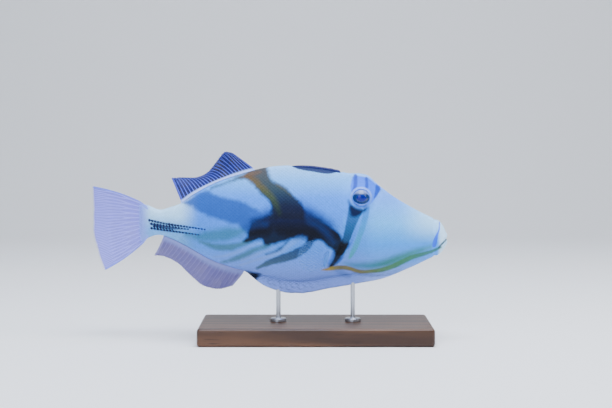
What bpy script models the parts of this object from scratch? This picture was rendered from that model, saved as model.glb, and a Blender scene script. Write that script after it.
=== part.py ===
# Picasso triggerfish (lagoon triggerfish), a life-size swimming model on a two-rod display stand.
# X runs from the tail to the snout, Y to the fish's left and Z up. The origin is under the middle
# of the fish, on the floor. Shape values are in millimetres, measured along X from the middle of
# the total length and up from the body axis, and place() turns them into metres.
import math

import bmesh
import bpy
import numpy as np
from mathutils import Vector

MM = 0.001
TOTAL_LENGTH = 200.0
SNOUT_TIP = TOTAL_LENGTH / 2
GAP = 0.3  # left between pieces that touch

# Stand
BASE_LENGTH = 130.0
BASE_WIDTH = 64.0
BASE_HEIGHT = 10.0
BASE_BEVEL = 1.6
BELLY_CLEARANCE = 16.0  # from the top of the base to the lowest point of the belly
ROD_RADIUS = 1.3
ROD_DEPTH = 5.0  # how far a rod reaches into the belly
ROD_COLLAR_RADIUS = 4.5
ROD_COLLAR_HEIGHT = 1.8
ROD_EDGE = 0.4  # rounding of the rod's top and of its collar
ROD_PLACES = {"stand_rod_front": 47.0, "stand_rod_rear": 5.0}

# Body: (x, height) along the back and the belly, and (x, half width) at the widest level
BACK_LINE = (
    (-67.5, 9.0), (-62.0, 6.9), (-56.0, 8.3), (-49.5, 10.8), (-44.8, 14.2), (-33.5, 20.6),
    (-16.6, 26.9), (0.0, 31.0), (14.0, 31.8), (34.0, 29.9), (45.0, 27.4), (51.0, 27.3),
    (55.7, 26.0), (60.0, 22.1), (68.0, 15.7), (80.0, 8.3), (90.0, 3.2), (100.0, -1.2),
)
BELLY_LINE = (
    (-67.5, -8.6), (-62.0, -7.3), (-56.0, -9.2), (-45.0, -14.6), (-33.5, -21.1), (-20.0, -26.1),
    (-13.2, -28.3), (-8.2, -32.4), (-2.0, -36.6), (6.0, -39.3), (17.0, -40.4), (34.0, -37.6),
    (51.0, -34.6), (64.0, -32.0), (79.0, -26.0), (96.0, -18.3), (100.0, -17.0),
)
WIDTH_LINE = (
    (-67.5, 1.5), (-62.0, 2.9), (-50.0, 5.0), (-30.0, 8.8), (-10.0, 12.2), (10.0, 14.3),
    (28.0, 14.7), (45.0, 13.3), (60.0, 11.0), (75.0, 8.5), (90.0, 5.8), (100.0, 4.8),
)
WIDEST_SHARE = 0.54  # height of the widest level, as a share of the depth from the belly
BACK_POWERS = (1.65, 0.72)  # how the width runs out to the ridge of the back
BELLY_POWERS = (2.0, 0.62)
FLAP_HALF_WIDTH = 2.6  # the thin pelvic flap under the belly
FLAP_SHARE = 0.16  # of the depth below the widest level
FLAP_RANGE = (-13.0, 0.0, 44.0, 76.0)  # where the flap starts, is full, starts to fade and ends
FLAP_BLEND = 4.0

# Cuts that part the body, as the X where each crosses the body axis
HEAD_CUT = 42.5
TAIL_CUT = -33.0
CUT_LEAN = 0.07  # the head's cut leans forward by this much for each millimetre of height
CUT_LEAN_REACH = 18.0

# Mouth
SNOUT_START = 88.0  # the lips' groove and rounding act in front of this
LIP_START = 94.5  # the snout is rounded off from here to its tip
LIP_GROOVE = 93.0
LIP_GROOVE_DEPTH = 0.05  # as a share of the section
LIP_GROOVE_REACH = 0.8
MOUTH_LEVEL = -9.5
MOUTH_CORNER = (95.6, -13.2)
MOUTH_SLOPE = math.radians(42)
MOUTH_GAP = 0.6
MOUTH_REACH = 9.0  # from the corner out past the lips
MOUTH_WIDTH = 16.0  # past both sides of the snout

# Head
EYE_PLACE = (51.3, 14.0)
EYE_RADIUS = 5.2
EYE_SINK = 1.8  # from the side of the head in to the middle of the eye
TURRET_RADII = (6.5, 4.7, 6.3)
NOSTRIL_PLACES = ((59.3, 15.6), (61.2, 14.3))
NOSTRIL_RADIUS = 0.5
NOSTRIL_FLARE = 1.3
NOSTRIL_DEPTH = 0.8
GILL_TOP = (39.7, -14.6)
GILL_FOOT = (34.4, -24.6)
GILL_RADIUS = (0.35, 0.85)  # of the slit at its ends and in the middle
GILL_SINK = 0.15  # from the skin in to the middle of the slit's round bottom

# Fins: thickness of the web and of a ray, at the root and at the margin
WEB_THICKNESS = 0.5
RAY_THICKNESS = (1.1, 0.55)
DORSAL_BASE = (-8.0, -49.6)
ANAL_BASE = (-14.2, -59.6)
FOOT_HEIGHT = 0.14  # share of a ray that stands in the fleshy foot of the fin
FOOT_THICKNESS = 2.2
FOOT_END_SHARE = 0.35  # of the foot's thickness that is left at the two ends of the fin
FOOT_END_REACH = 0.08  # share of the base over which it thins out to them
FIN_ARCH = 0.12  # how much higher a fin that is laid over arches, as a share of its lay
FIN_LAY_POWER = 1.3
FIN_ROWS = 6
# For a share of the base from its front: how far the ray's tip is back, out from the body, and
# aside to the fish's left, where the wave of the swimming fin lays it over
DORSAL_TIPS = (
    (0.0, 13.0, 9.4, 0.6), (0.15, 11.5, 11.5, 2.0), (0.3, 10.7, 7.0, 8.5), (0.45, 9.6, 3.4, 11.3),
    (0.6, 9.0, 3.6, 11.2), (0.75, 8.2, 6.8, 9.5), (0.9, 7.0, 11.0, 5.0), (1.0, 5.6, 14.0, 0.6),
)
ANAL_TIPS = (
    (0.0, 7.0, 8.6, 1.6), (0.15, 8.6, 12.6, 3.6), (0.3, 9.6, 13.2, 4.0), (0.5, 9.0, 10.7, 6.0),
    (0.7, 7.9, 8.8, 7.0), (0.85, 7.3, 9.4, 5.6), (1.0, 5.8, 11.4, 2.6),
)
DORSAL_RAYS = 24
ANAL_RAYS = 21
TAIL_RAYS = 12
PECTORAL_RAYS = 13
TAIL_FAN_CENTRE = (-60.0, -0.2)
TAIL_FAN_ANGLES = (153.0, 219.5)  # from the top corner to the bottom corner
TAIL_FAN_RADIUS = 40.0
TAIL_CORNERS = (4.9, 2.6)  # how far the corners reach past that radius
TAIL_BOW = 1.6
TAIL_WAVE = 2.2  # how far the tail fin's edge waves to the side
TAIL_ROOT_REACH = 0.22  # share of the rays that is thick with the flesh of the stalk
TAIL_ROOT_INSET = 0.3  # from the stalk's edge in to the first and the last ray
TAIL_ROOT_SHARES = (0.35, 0.95)  # of the stalk's width, at the root's ends and in its middle
TAIL_ROWS = 7
PECTORAL_ROOT = ((33.6, -15.6), (31.6, -23.4))
PECTORAL_ANGLES = (132.0, 203.0)
PECTORAL_LENGTHS = (9.0, 9.5)  # at the edges, and how much more in the middle
PECTORAL_FLARE = math.radians(20)
PECTORAL_LIFT = 1.2  # from the body's side to the root of the fin
PECTORAL_CURL = 0.25  # share of the flare that the fin bends back by, out to its margin
PECTORAL_ROUNDING = 0.8
PECTORAL_ROWS = 5

# Folded spines of the first dorsal fin: start, end, offset to the left and radius at the start
BACK_SPINES = ((40.2, 12.0, 0.0, 1.1), (34.5, 19.0, 0.75, 0.7), (27.5, 20.0, -0.7, 0.55))
SPINE_LIFT = -0.55
SPINE_TIP_SHARE = 0.3

# Rows of small spines on each side of the tail stalk: first and last place, and how many
STALK_SPINE_ROWS = (
    ((-66.0, -0.4), (-36.0, -3.6), 14),
    ((-65.6, -2.5), (-48.6, -4.1), 8),
    ((-65.4, -4.5), (-40.2, -6.8), 12),
)
STALK_SPINE_LENGTH = 1.5
STALK_SPINE_RADIUS = 0.55
STALK_SPINE_SINK = 0.5
STALK_SPINE_LEAN = 0.55  # forward for each unit out
STALK_SPINE_TIP = 0.08
STALK_SPINE_SHRINK = 0.35  # from the first spine of a row to the last
PELVIC_SPUR_PLACE = (-3.6, -34.6)
PELVIC_SPUR_LENGTH = 5.0
PELVIC_SPUR_RADII = (1.3, 0.4)
PELVIC_SPUR_SINK = (2.0, 1.0)  # forward and up, into the belly
PELVIC_SPUR_DIRECTION = (-0.8, 0.0, -0.6)

BELLY_DEPTH = -min(height for _, height in BELLY_LINE)
AXIS_HEIGHT = BASE_HEIGHT + BELLY_CLEARANCE + BELLY_DEPTH

SIDE_POINTS = 14  # points of a body section on each side, between the belly and the back

COLOURS = {
    "skin": (0.60, 0.74, 0.92, 0.38, 0.0),
    "fin": (0.62, 0.66, 0.90, 0.45, 0.0),
    "dark_spines": (0.05, 0.06, 0.22, 0.4, 0.0),
    "eye": (0.02, 0.04, 0.30, 0.08, 0.0),
    "stand_wood": (0.16, 0.08, 0.045, 0.45, 0.0),
    "stand_metal": (0.62, 0.62, 0.64, 0.28, 1.0),
}

for old in list(bpy.data.objects):
    bpy.data.objects.remove(old)
fish = bpy.data.collections.new("picasso_triggerfish")
bpy.context.scene.collection.children.link(fish)


def place(x, y, z):
    # A point given from the fish's middle and its body axis, in metres from the floor
    return Vector((x * MM, y * MM, (AXIS_HEIGHT + z) * MM))


def curve_through(points):
    # A smooth function through (x, value) points
    xs, values = np.array(points, float).T
    slopes = np.gradient(values, xs)

    def value_at(x):
        x = float(np.clip(x, xs[0], xs[-1]))
        i = int(np.clip(np.searchsorted(xs, x) - 1, 0, len(xs) - 2))
        step = xs[i + 1] - xs[i]
        t = (x - xs[i]) / step
        start = (1 + 2 * t) * (1 - t) ** 2 * values[i] + t * (1 - t) ** 2 * step * slopes[i]
        end = t * t * (3 - 2 * t) * values[i + 1] - t * t * (1 - t) * step * slopes[i + 1]
        return start + end

    return value_at


back_line = curve_through(BACK_LINE)
belly_line = curve_through(BELLY_LINE)
width_line = curve_through(WIDTH_LINE)


def ease(low, high, x):
    t = min(max((x - low) / (high - low), 0.0), 1.0)
    return t * t * (3 - 2 * t)


def lip_scale(x):
    # Rounds the snout off to its tip and draws in the groove behind the lips
    groove = 1 - LIP_GROOVE_DEPTH * math.exp(-(((x - LIP_GROOVE) / LIP_GROOVE_REACH) ** 2))
    past = max(0.0, (x - LIP_START) / (SNOUT_TIP - LIP_START))
    return groove * math.sqrt(max(0.0, 1 - past * past))


def edge_at(line, x):
    # The height of the back's or the belly's line, drawn in to the mouth's level at the lips
    if x < SNOUT_START:
        return line(x)
    return MOUTH_LEVEL + (line(x) - MOUTH_LEVEL) * lip_scale(x)


def back_at(x):
    return edge_at(back_line, x)


def belly_at(x):
    return edge_at(belly_line, x)


def half_width(x, z):
    # Half the body's width at a place on its side
    top, foot = back_at(x), belly_at(x)
    widest = foot + WIDEST_SHARE * (top - foot)
    full = width_line(x) * (lip_scale(x) if x > SNOUT_START else 1.0)
    if z >= widest:
        t = min((z - widest) / max(top - widest, 1e-6), 1.0)
        return full * (1 - t ** BACK_POWERS[0]) ** BACK_POWERS[1]
    t = min((widest - z) / max(widest - foot, 1e-6), 1.0)
    flap = ease(*FLAP_RANGE[:2], x) * (1 - ease(*FLAP_RANGE[2:], x))
    reach = 1 - FLAP_SHARE * flap
    belly = full * max(0.0, 1 - (t / reach) ** BELLY_POWERS[0]) ** BELLY_POWERS[1]
    keel = FLAP_HALF_WIDTH * flap * math.sqrt(1 - t**8)
    return (belly**FLAP_BLEND + keel**FLAP_BLEND) ** (1 / FLAP_BLEND)


def side_normal(x, z, side):
    # The direction straight out of the body's side
    step = 0.2
    along = (half_width(x + step, z) - half_width(x - step, z)) / (2 * step)
    up = (half_width(x, z + step) - half_width(x, z - step)) / (2 * step)
    return Vector((-along, side, -up)).normalized()


def side_point(x, z, side, lift=0.0):
    # A point on the body's side, lifted straight out of it
    normal = side_normal(x, z, side)
    return Vector((x, side * half_width(x, z), z)) + normal * lift


def material(name):
    found = bpy.data.materials.get(name)
    if found:
        return found
    made = bpy.data.materials.new(name)
    made.use_nodes = True
    shader = made.node_tree.nodes["Principled BSDF"]
    red, green, blue, roughness, metallic = COLOURS[name]
    shader.inputs["Base Color"].default_value = (red, green, blue, 1)
    shader.inputs["Roughness"].default_value = roughness
    shader.inputs["Metallic"].default_value = metallic
    return made


def node_from(name, mesh, finish):
    made = bpy.data.objects.new(name, mesh)
    made.data.materials.clear()
    made.data.materials.append(material(finish))
    fish.objects.link(made)
    return made


def mesh_from(name, builder):
    # A mesh from a bmesh that is given in millimetres from the body axis
    for vertex in builder.verts:
        vertex.co = place(*vertex.co)
    mesh = bpy.data.meshes.new(name)
    builder.to_mesh(mesh)
    builder.free()
    return mesh


def smooth(obj, angle=35):
    obj.data.shade_smooth()
    obj.data.set_sharp_from_angle(angle=math.radians(angle))


def applied(obj):
    # The object's mesh as its modifiers leave it, with no modifier left on it
    graph = bpy.context.evaluated_depsgraph_get()
    mesh = bpy.data.meshes.new_from_object(obj.evaluated_get(graph))
    obj.modifiers.clear()
    obj.data = mesh


def keep_largest(obj):
    # Drops every closed surface of the mesh but the largest
    builder = bmesh.new()
    builder.from_mesh(obj.data)
    left = set(builder.verts)
    groups = []
    while left:
        front = [left.pop()]
        group = list(front)
        while front:
            near = {edge.other_vert(v) for v in front for edge in v.link_edges} & left
            left -= near
            front = list(near)
            group += front
        groups.append(group)
    groups.sort(key=len)
    for group in groups[:-1]:
        bmesh.ops.delete(builder, geom=group, context="VERTS")
    builder.to_mesh(obj.data)
    builder.free()


def combine(obj, pieces, operation):
    # One Boolean of the object with a collection of closed meshes, which are removed after it
    group = bpy.data.collections.new(obj.name + "_" + operation.lower())
    bpy.context.scene.collection.children.link(group)
    for piece in pieces:
        for holder in list(piece.users_collection):
            holder.objects.unlink(piece)
        group.objects.link(piece)
        piece.hide_render = True
        piece.display_type = "WIRE"
    modifier = obj.modifiers.new(operation.lower(), "BOOLEAN")
    modifier.operation = operation
    modifier.operand_type = "COLLECTION"
    modifier.collection = group
    modifier.solver = "EXACT"
    bpy.context.view_layer.update()
    applied(obj)
    for piece in pieces:
        bpy.data.objects.remove(piece)
    bpy.data.collections.remove(group)
    keep_largest(obj)


def section(s):
    # The closed ring of the body on one cutting plane, from the belly up the right side and back
    lean = CUT_LEAN * math.exp(-(((s - HEAD_CUT) / CUT_LEAN_REACH) ** 2))
    top = foot = 0.0
    for _ in range(8):
        top = back_at(s + lean * top)
        foot = belly_at(s + lean * foot)
    widest = foot + WIDEST_SHARE * (top - foot)
    side = []
    for i in range(1, SIDE_POINTS + 1):
        level = math.sin(math.pi * (i / (SIDE_POINTS + 1) - 0.5))
        z = widest + level * (top - widest if level > 0 else widest - foot)
        x = s + lean * z
        side.append((x, half_width(x, z), z))
    ring = [(s + lean * foot, 0.0, foot)]
    ring += [(x, -y, z) for x, y, z in side]
    ring.append((s + lean * top, 0.0, top))
    ring += [(x, y, z) for x, y, z in reversed(side)]
    return ring


def body_length(name, places):
    # A closed length of the body through the sections at these places
    builder = bmesh.new()
    rings = [[builder.verts.new(point) for point in section(s)] for s in places]
    for first, second in zip(rings, rings[1:]):
        for i in range(len(first)):
            j = (i + 1) % len(first)
            builder.faces.new((first[i], first[j], second[j], second[i]))
    builder.faces.new(rings[0])
    builder.faces.new(list(reversed(rings[-1])))
    bmesh.ops.recalc_face_normals(builder, faces=builder.faces)
    made = node_from(name, mesh_from(name, builder), "skin")
    smooth(made)
    return made


def ball(name, centre, radii, segments=20, rings=12):
    builder = bmesh.new()
    bmesh.ops.create_uvsphere(builder, u_segments=segments, v_segments=rings, radius=1.0)
    for vertex in builder.verts:
        vertex.co = Vector(centre) + Vector([vertex.co[i] * radii[i] for i in range(3)])
    return node_from(name, mesh_from(name, builder), "skin")


def cone(name, root, direction, length, radii, segments=6, squash=1.0):
    # A cone that starts at root and runs along direction
    builder = bmesh.new()
    bmesh.ops.create_cone(
        builder, cap_ends=True, segments=segments, radius1=radii[0], radius2=radii[1], depth=length
    )
    turn = Vector((0, 0, 1)).rotation_difference(Vector(direction).normalized())
    for vertex in builder.verts:
        flat = Vector((vertex.co.x * squash, vertex.co.y, vertex.co.z + length / 2))
        vertex.co = Vector(root) + turn @ flat
    return node_from(name, mesh_from(name, builder), "skin")


def tube(name, points, radii):
    # A closed round tube along points, with its own radius at each
    data = bpy.data.curves.new(name, "CURVE")
    data.dimensions = "3D"
    data.bevel_depth = MM
    data.bevel_resolution = 2
    data.use_fill_caps = True
    spline = data.splines.new("POLY")
    spline.points.add(len(points) - 1)
    for knot, point, radius in zip(spline.points, points, radii):
        knot.co = (*place(*point), 1)
        knot.radius = radius
    holder = bpy.data.objects.new(name + "_line", data)
    fish.objects.link(holder)
    bpy.context.view_layer.update()
    graph = bpy.context.evaluated_depsgraph_get()
    mesh = bpy.data.meshes.new_from_object(holder.evaluated_get(graph))
    bpy.data.objects.remove(holder)
    builder = bmesh.new()
    builder.from_mesh(mesh)
    bmesh.ops.remove_doubles(builder, verts=builder.verts, dist=0.00001)
    bmesh.ops.recalc_face_normals(builder, faces=builder.faces)
    builder.to_mesh(mesh)
    builder.free()
    return node_from(name, mesh, "dark_spines")


def thin_fin(name, middle, thickness, columns, rows):
    # A closed thin fin around a middle surface, split into triangles alike on both faces.
    # middle(u, v) gives a point for u along the base and v out along the rays.
    step = 1e-3
    us = np.linspace(0, 1, columns + 1)
    vs = np.linspace(0, 1, rows + 1)
    builder = bmesh.new()
    faces = {1: [], -1: []}
    for u in us:
        for side in faces:
            faces[side].append([])
        for v in vs:
            point = middle(u, v)
            near_u, far_u = max(u - step, 0.0), min(u + step, 1.0)
            near_v, far_v = max(v - step, 0.0), min(v + step, 1.0)
            along = middle(far_u, v) - middle(near_u, v)
            out = middle(u, far_v) - middle(u, near_v)
            normal = along.cross(out).normalized()
            for side in faces:
                lifted = point + normal * (side * thickness(u, v) / 2)
                faces[side][-1].append(builder.verts.new(lifted))
    for grid in faces.values():
        for i in range(columns):
            for j in range(rows):
                a, b = grid[i][j], grid[i + 1][j]
                c, d = grid[i + 1][j + 1], grid[i][j + 1]
                builder.faces.new((a, b, c))
                builder.faces.new((a, c, d))
    front, rear = faces[1], faces[-1]
    rim = [(i, 0) for i in range(columns)] + [(columns, j) for j in range(rows)]
    rim += [(i, rows) for i in range(columns, 0, -1)] + [(0, j) for j in range(rows, 0, -1)]
    for (i, j), (k, m) in zip(rim, rim[1:] + rim[:1]):
        builder.faces.new((front[i][j], front[k][m], rear[k][m]))
        builder.faces.new((front[i][j], rear[k][m], rear[i][j]))
    bmesh.ops.recalc_face_normals(builder, faces=builder.faces)
    made = node_from(name, mesh_from(name, builder), "fin")
    smooth(made, 60)
    return made


def ray_ridge(u, rays):
    # 1 on the line of each ray and 0 between two of them
    return 0.5 + 0.5 * math.cos(2 * math.pi * rays * u)


def make_head():
    past_cut = HEAD_CUT + GAP / 2
    plain = list(np.linspace(past_cut, LIP_GROOVE - 1.2, 15))
    lips = [LIP_GROOVE - 0.5, LIP_GROOVE, LIP_GROOVE + 0.6]
    turns = np.radians((0, 20, 36, 50, 62, 72, 80, 86))
    rounded = [LIP_START + (SNOUT_TIP - LIP_START) * math.sin(turn) for turn in turns]
    head = body_length("head", plain + lips + rounded)
    x, z = EYE_PLACE
    depth = half_width(x, z) - EYE_SINK
    turrets = [ball("turret", (x, side * depth, z), TURRET_RADII, 24, 16) for side in (-1, 1)]
    combine(head, turrets, "UNION")
    socket = (EYE_RADIUS + GAP,) * 3
    cutters = [ball("socket", (x, side * depth, z), socket, 24, 16) for side in (-1, 1)]
    for place_x, place_z in NOSTRIL_PLACES:
        for side in (-1, 1):
            root = side_point(place_x, place_z, side, -NOSTRIL_DEPTH)
            out = side_normal(place_x, place_z, side)
            radii = (NOSTRIL_RADIUS, NOSTRIL_RADIUS * NOSTRIL_FLARE)
            cutters.append(cone("nostril", root, out, 2 * NOSTRIL_DEPTH, radii, 8))
    cutters.append(mouth_cutter())
    cutters.append(rod_hole("stand_rod_front"))
    combine(head, cutters, "DIFFERENCE")
    smooth(head)
    for side, name in ((-1, "eye_right"), (1, "eye_left")):
        eye = ball(name, (x, side * depth, z), (EYE_RADIUS,) * 3, 20, 12)
        eye.data.materials[0] = material("eye")
        smooth(eye, 60)


def mouth_cutter():
    # A thin slab through the front of the snout, which leaves the two lips
    builder = bmesh.new()
    bmesh.ops.create_cube(builder, size=1.0)
    corner = Vector((MOUTH_CORNER[0], 0, MOUTH_CORNER[1]))
    forward = Vector((math.cos(MOUTH_SLOPE), 0, math.sin(MOUTH_SLOPE)))
    upward = Vector((-math.sin(MOUTH_SLOPE), 0, math.cos(MOUTH_SLOPE)))
    for vertex in builder.verts:
        x, y, z = vertex.co
        vertex.co = corner + forward * ((x + 0.5) * MOUTH_REACH) + upward * (z * MOUTH_GAP)
        vertex.co.y = y * MOUTH_WIDTH
    return node_from("mouth", mesh_from("mouth", builder), "skin")


def rod_hole(rod):
    # The hole in the belly that a rod of the stand fits, with the gap all round
    x = ROD_PLACES[rod]
    depth = ROD_DEPTH + GAP
    radius = ROD_RADIUS + GAP
    start = Vector((x, 0, belly_at(x) - depth))
    return cone("hole", start, (0, 0, 1), 2 * depth, (radius, radius), 16)


def make_torso():
    places = np.linspace(TAIL_CUT + GAP / 2, HEAD_CUT - GAP / 2, 24)
    torso = body_length("torso", places)
    forward, up = PELVIC_SPUR_SINK
    root = Vector((PELVIC_SPUR_PLACE[0] + forward, 0, PELVIC_SPUR_PLACE[1] + up))
    spur = cone("spur", root, PELVIC_SPUR_DIRECTION, PELVIC_SPUR_LENGTH, PELVIC_SPUR_RADII, 8)
    combine(torso, [spur], "UNION")
    cutters = []
    for side in (-1, 1):
        points, radii = [], []
        for share in np.linspace(0, 1, 7):
            x = GILL_TOP[0] + (GILL_FOOT[0] - GILL_TOP[0]) * share
            z = GILL_TOP[1] + (GILL_FOOT[1] - GILL_TOP[1]) * share
            narrow, wide = GILL_RADIUS
            points.append(side_point(x, z, side, -GILL_SINK))
            radii.append(narrow + (wide - narrow) * math.sin(math.pi * share))
        cutters.append(tube("gill", points, radii))
    cutters += [back_spine("groove", *spine, GAP) for spine in BACK_SPINES]
    cutters.append(rod_hole("stand_rod_rear"))
    combine(torso, cutters, "DIFFERENCE")
    smooth(torso)


def back_spine(name, start, end, aside, radius, grow):
    # One folded spine, tapering to its tip along the ridge of the back
    points, radii = [], []
    for share in np.linspace(0, 1, 9):
        x = start + (end - start) * share
        points.append((x, aside * (1 - 0.5 * share), back_at(x) + SPINE_LIFT))
        radii.append(radius * (1 - (1 - SPINE_TIP_SHARE) * share**1.5) + grow)
    points[0] = (points[0][0] + grow, *points[0][1:])
    points[-1] = (points[-1][0] - grow, *points[-1][1:])
    return tube(name, points, radii)


def make_back_spines():
    first, *others = [back_spine("dorsal_spines", *spine, 0.0) for spine in BACK_SPINES]
    first.name = "dorsal_spines"
    combine(first, others, "UNION")
    smooth(first, 50)


def make_tail_stalk():
    places = np.linspace(BACK_LINE[0][0], TAIL_CUT - GAP / 2, 13)
    stalk = body_length("tail_stalk", places)
    spines = []
    for start, end, count in STALK_SPINE_ROWS:
        for share in np.linspace(0, 1, count):
            x = start[0] + (end[0] - start[0]) * share
            z = start[1] + (end[1] - start[1]) * share
            size = 1 - STALK_SPINE_SHRINK * share
            radii = (STALK_SPINE_RADIUS * size, STALK_SPINE_TIP)
            length = (STALK_SPINE_LENGTH + STALK_SPINE_SINK) * size
            for side in (-1, 1):
                root = side_point(x, z, side, -STALK_SPINE_SINK)
                direction = side_normal(x, z, side) + Vector((STALK_SPINE_LEAN, 0, 0))
                spines.append(cone("spine", root, direction, length, radii))
    combine(stalk, spines, "UNION")
    smooth(stalk)


def edge_fin(name, base, edge, tips, outward, rays):
    # A fin along the back or the belly, from its base on the edge of the body to the ray tips
    shares = [row[0] for row in tips]
    back, out, aside = (
        curve_through(list(zip(shares, [row[i] for row in tips]))) for i in (1, 2, 3)
    )

    def middle(u, v):
        x = base[0] + (base[1] - base[0]) * u
        arch = math.sin(math.pi * v) * aside(u) * FIN_ARCH
        lay = aside(u) * v**FIN_LAY_POWER
        height = out(u) * v + arch
        return Vector((x - back(u) * v, lay, edge(x) + outward * (height + GAP)))

    def thickness(u, v):
        ray = RAY_THICKNESS[0] + (RAY_THICKNESS[1] - RAY_THICKNESS[0]) * v
        web = WEB_THICKNESS + (ray - WEB_THICKNESS) * ray_ridge(u, rays)
        foot = 1 - ease(0, FOOT_HEIGHT, v)
        ends = min(1.0, min(u, 1 - u) / (FOOT_END_REACH / (1 - FOOT_END_SHARE)) + FOOT_END_SHARE)
        return web + (FOOT_THICKNESS - web) * foot * ends

    return thin_fin(name, middle, thickness, 2 * rays, FIN_ROWS)


def make_tail_fin():
    top_angle, foot_angle = (math.radians(angle) for angle in TAIL_FAN_ANGLES)
    root_x = BACK_LINE[0][0] - GAP
    root_top, root_foot = back_at(root_x) - TAIL_ROOT_INSET, belly_at(root_x) + TAIL_ROOT_INSET

    def middle(u, v):
        angle = top_angle + (foot_angle - top_angle) * u
        corner = TAIL_CORNERS[0] * max(0, 1 - 2 * u) ** 3 + TAIL_CORNERS[1] * max(0, 2 * u - 1) ** 3
        radius = TAIL_FAN_RADIUS + corner
        tip = Vector((radius * math.cos(angle), 0, radius * math.sin(angle)))
        tip += Vector((TAIL_FAN_CENTRE[0], 0, TAIL_FAN_CENTRE[1]))
        root = Vector((root_x, 0, root_top + (root_foot - root_top) * u))
        bow = TAIL_BOW * (1 - 2 * u) * math.sin(math.pi * v)
        wave = TAIL_WAVE * v * v * math.sin(math.pi * (0.25 + 1.1 * u))
        return root.lerp(tip, v) + Vector((0, wave, bow))

    def thickness(u, v):
        ray = RAY_THICKNESS[0] + (RAY_THICKNESS[1] - RAY_THICKNESS[0]) * v
        web = WEB_THICKNESS + (ray - WEB_THICKNESS) * ray_ridge(u, TAIL_RAYS)
        inward = math.sqrt(max(0.0, 4 * u * (1 - u)))
        low, high = TAIL_ROOT_SHARES
        root = 2 * width_line(root_x) * (low + (high - low) * inward)
        return web + (root - web) * (1 - ease(0, TAIL_ROOT_REACH, v))

    thin_fin("caudal_fin", middle, thickness, 4 * TAIL_RAYS, TAIL_ROWS)


def make_pectoral(name, side):
    top, foot = PECTORAL_ROOT
    angles = [math.radians(angle) for angle in PECTORAL_ANGLES]

    def middle(u, v):
        x = top[0] + (foot[0] - top[0]) * u
        z = top[1] + (foot[1] - top[1]) * u
        angle = angles[0] + (angles[1] - angles[0]) * u
        length = PECTORAL_LENGTHS[0]
        length += PECTORAL_LENGTHS[1] * math.sin(math.pi * u) ** PECTORAL_ROUNDING
        root = side_point(x, z, side, PECTORAL_LIFT)
        out = math.sin(PECTORAL_FLARE) * length * v * (1 - PECTORAL_CURL * v)
        reach = math.cos(PECTORAL_FLARE) * length * v
        return root + Vector((reach * math.cos(angle), side * out, reach * math.sin(angle)))

    def thickness(u, v):
        ray = RAY_THICKNESS[0] + (RAY_THICKNESS[1] - RAY_THICKNESS[0]) * v
        return WEB_THICKNESS + (ray - WEB_THICKNESS) * ray_ridge(u, PECTORAL_RAYS)

    thin_fin(name, middle, thickness, 2 * PECTORAL_RAYS, PECTORAL_ROWS)


def make_stand():
    builder = bmesh.new()
    bmesh.ops.create_cube(builder, size=1.0)
    middle_x = sum(ROD_PLACES.values()) / len(ROD_PLACES)
    for vertex in builder.verts:
        x, y, z = vertex.co
        low = -AXIS_HEIGHT + BASE_HEIGHT / 2
        vertex.co = (middle_x + x * BASE_LENGTH, y * BASE_WIDTH, low + z * BASE_HEIGHT)
    base = node_from("stand_base", mesh_from("stand_base", builder), "stand_wood")
    bevel = base.modifiers.new("edges", "BEVEL")
    bevel.width = BASE_BEVEL * MM
    bevel.segments = 3
    for name, x in ROD_PLACES.items():
        foot = -AXIS_HEIGHT + BASE_HEIGHT + GAP
        top = belly_at(x) + ROD_DEPTH
        collar = foot + ROD_COLLAR_HEIGHT
        profile = [
            (0, top), (ROD_RADIUS - ROD_EDGE, top), (ROD_RADIUS, top - ROD_EDGE),
            (ROD_RADIUS, collar + ROD_EDGE), (ROD_RADIUS + ROD_EDGE, collar),
            (ROD_COLLAR_RADIUS - ROD_EDGE, collar), (ROD_COLLAR_RADIUS, collar - ROD_EDGE),
            (ROD_COLLAR_RADIUS, foot), (0, foot),
        ]
        builder = bmesh.new()
        knots = [builder.verts.new((radius, 0, height)) for radius, height in profile]
        for first, second in zip(knots, knots[1:]):
            builder.edges.new((first, second))
        for knot in knots:
            knot.co = Vector((knot.co.x, 0, knot.co.z)) * MM
        mesh = bpy.data.meshes.new(name)
        builder.to_mesh(mesh)
        builder.free()
        rod = node_from(name, mesh, "stand_metal")
        rod.location = (x * MM, 0, AXIS_HEIGHT * MM)
        turned = rod.modifiers.new("turned", "SCREW")
        turned.steps = turned.render_steps = 20
        turned.use_merge_vertices = True
        turned.merge_threshold = 0.00001
        turned.use_smooth_shade = True


make_head()
make_torso()
make_tail_stalk()
make_back_spines()
edge_fin("dorsal_fin", DORSAL_BASE, back_at, DORSAL_TIPS, 1, DORSAL_RAYS)
edge_fin("anal_fin", ANAL_BASE, belly_at, ANAL_TIPS, -1, ANAL_RAYS)
make_tail_fin()
make_pectoral("pectoral_fin_right", -1)
make_pectoral("pectoral_fin_left", 1)
make_stand()
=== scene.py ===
import math

import bpy
import numpy as np
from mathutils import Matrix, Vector


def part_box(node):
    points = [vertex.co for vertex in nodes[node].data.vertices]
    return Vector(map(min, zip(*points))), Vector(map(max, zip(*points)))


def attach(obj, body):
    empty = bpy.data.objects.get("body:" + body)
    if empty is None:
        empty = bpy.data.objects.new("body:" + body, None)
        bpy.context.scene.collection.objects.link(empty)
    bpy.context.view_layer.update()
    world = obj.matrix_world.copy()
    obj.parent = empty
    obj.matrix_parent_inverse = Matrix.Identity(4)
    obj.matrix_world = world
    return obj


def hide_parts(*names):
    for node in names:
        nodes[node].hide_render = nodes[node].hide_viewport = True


# A triggerfish, life-size on its stand. Shape values are in millimetres: x along the fish from
# the middle of its length to the snout, z up from the axis of its body, y to its left.

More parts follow.
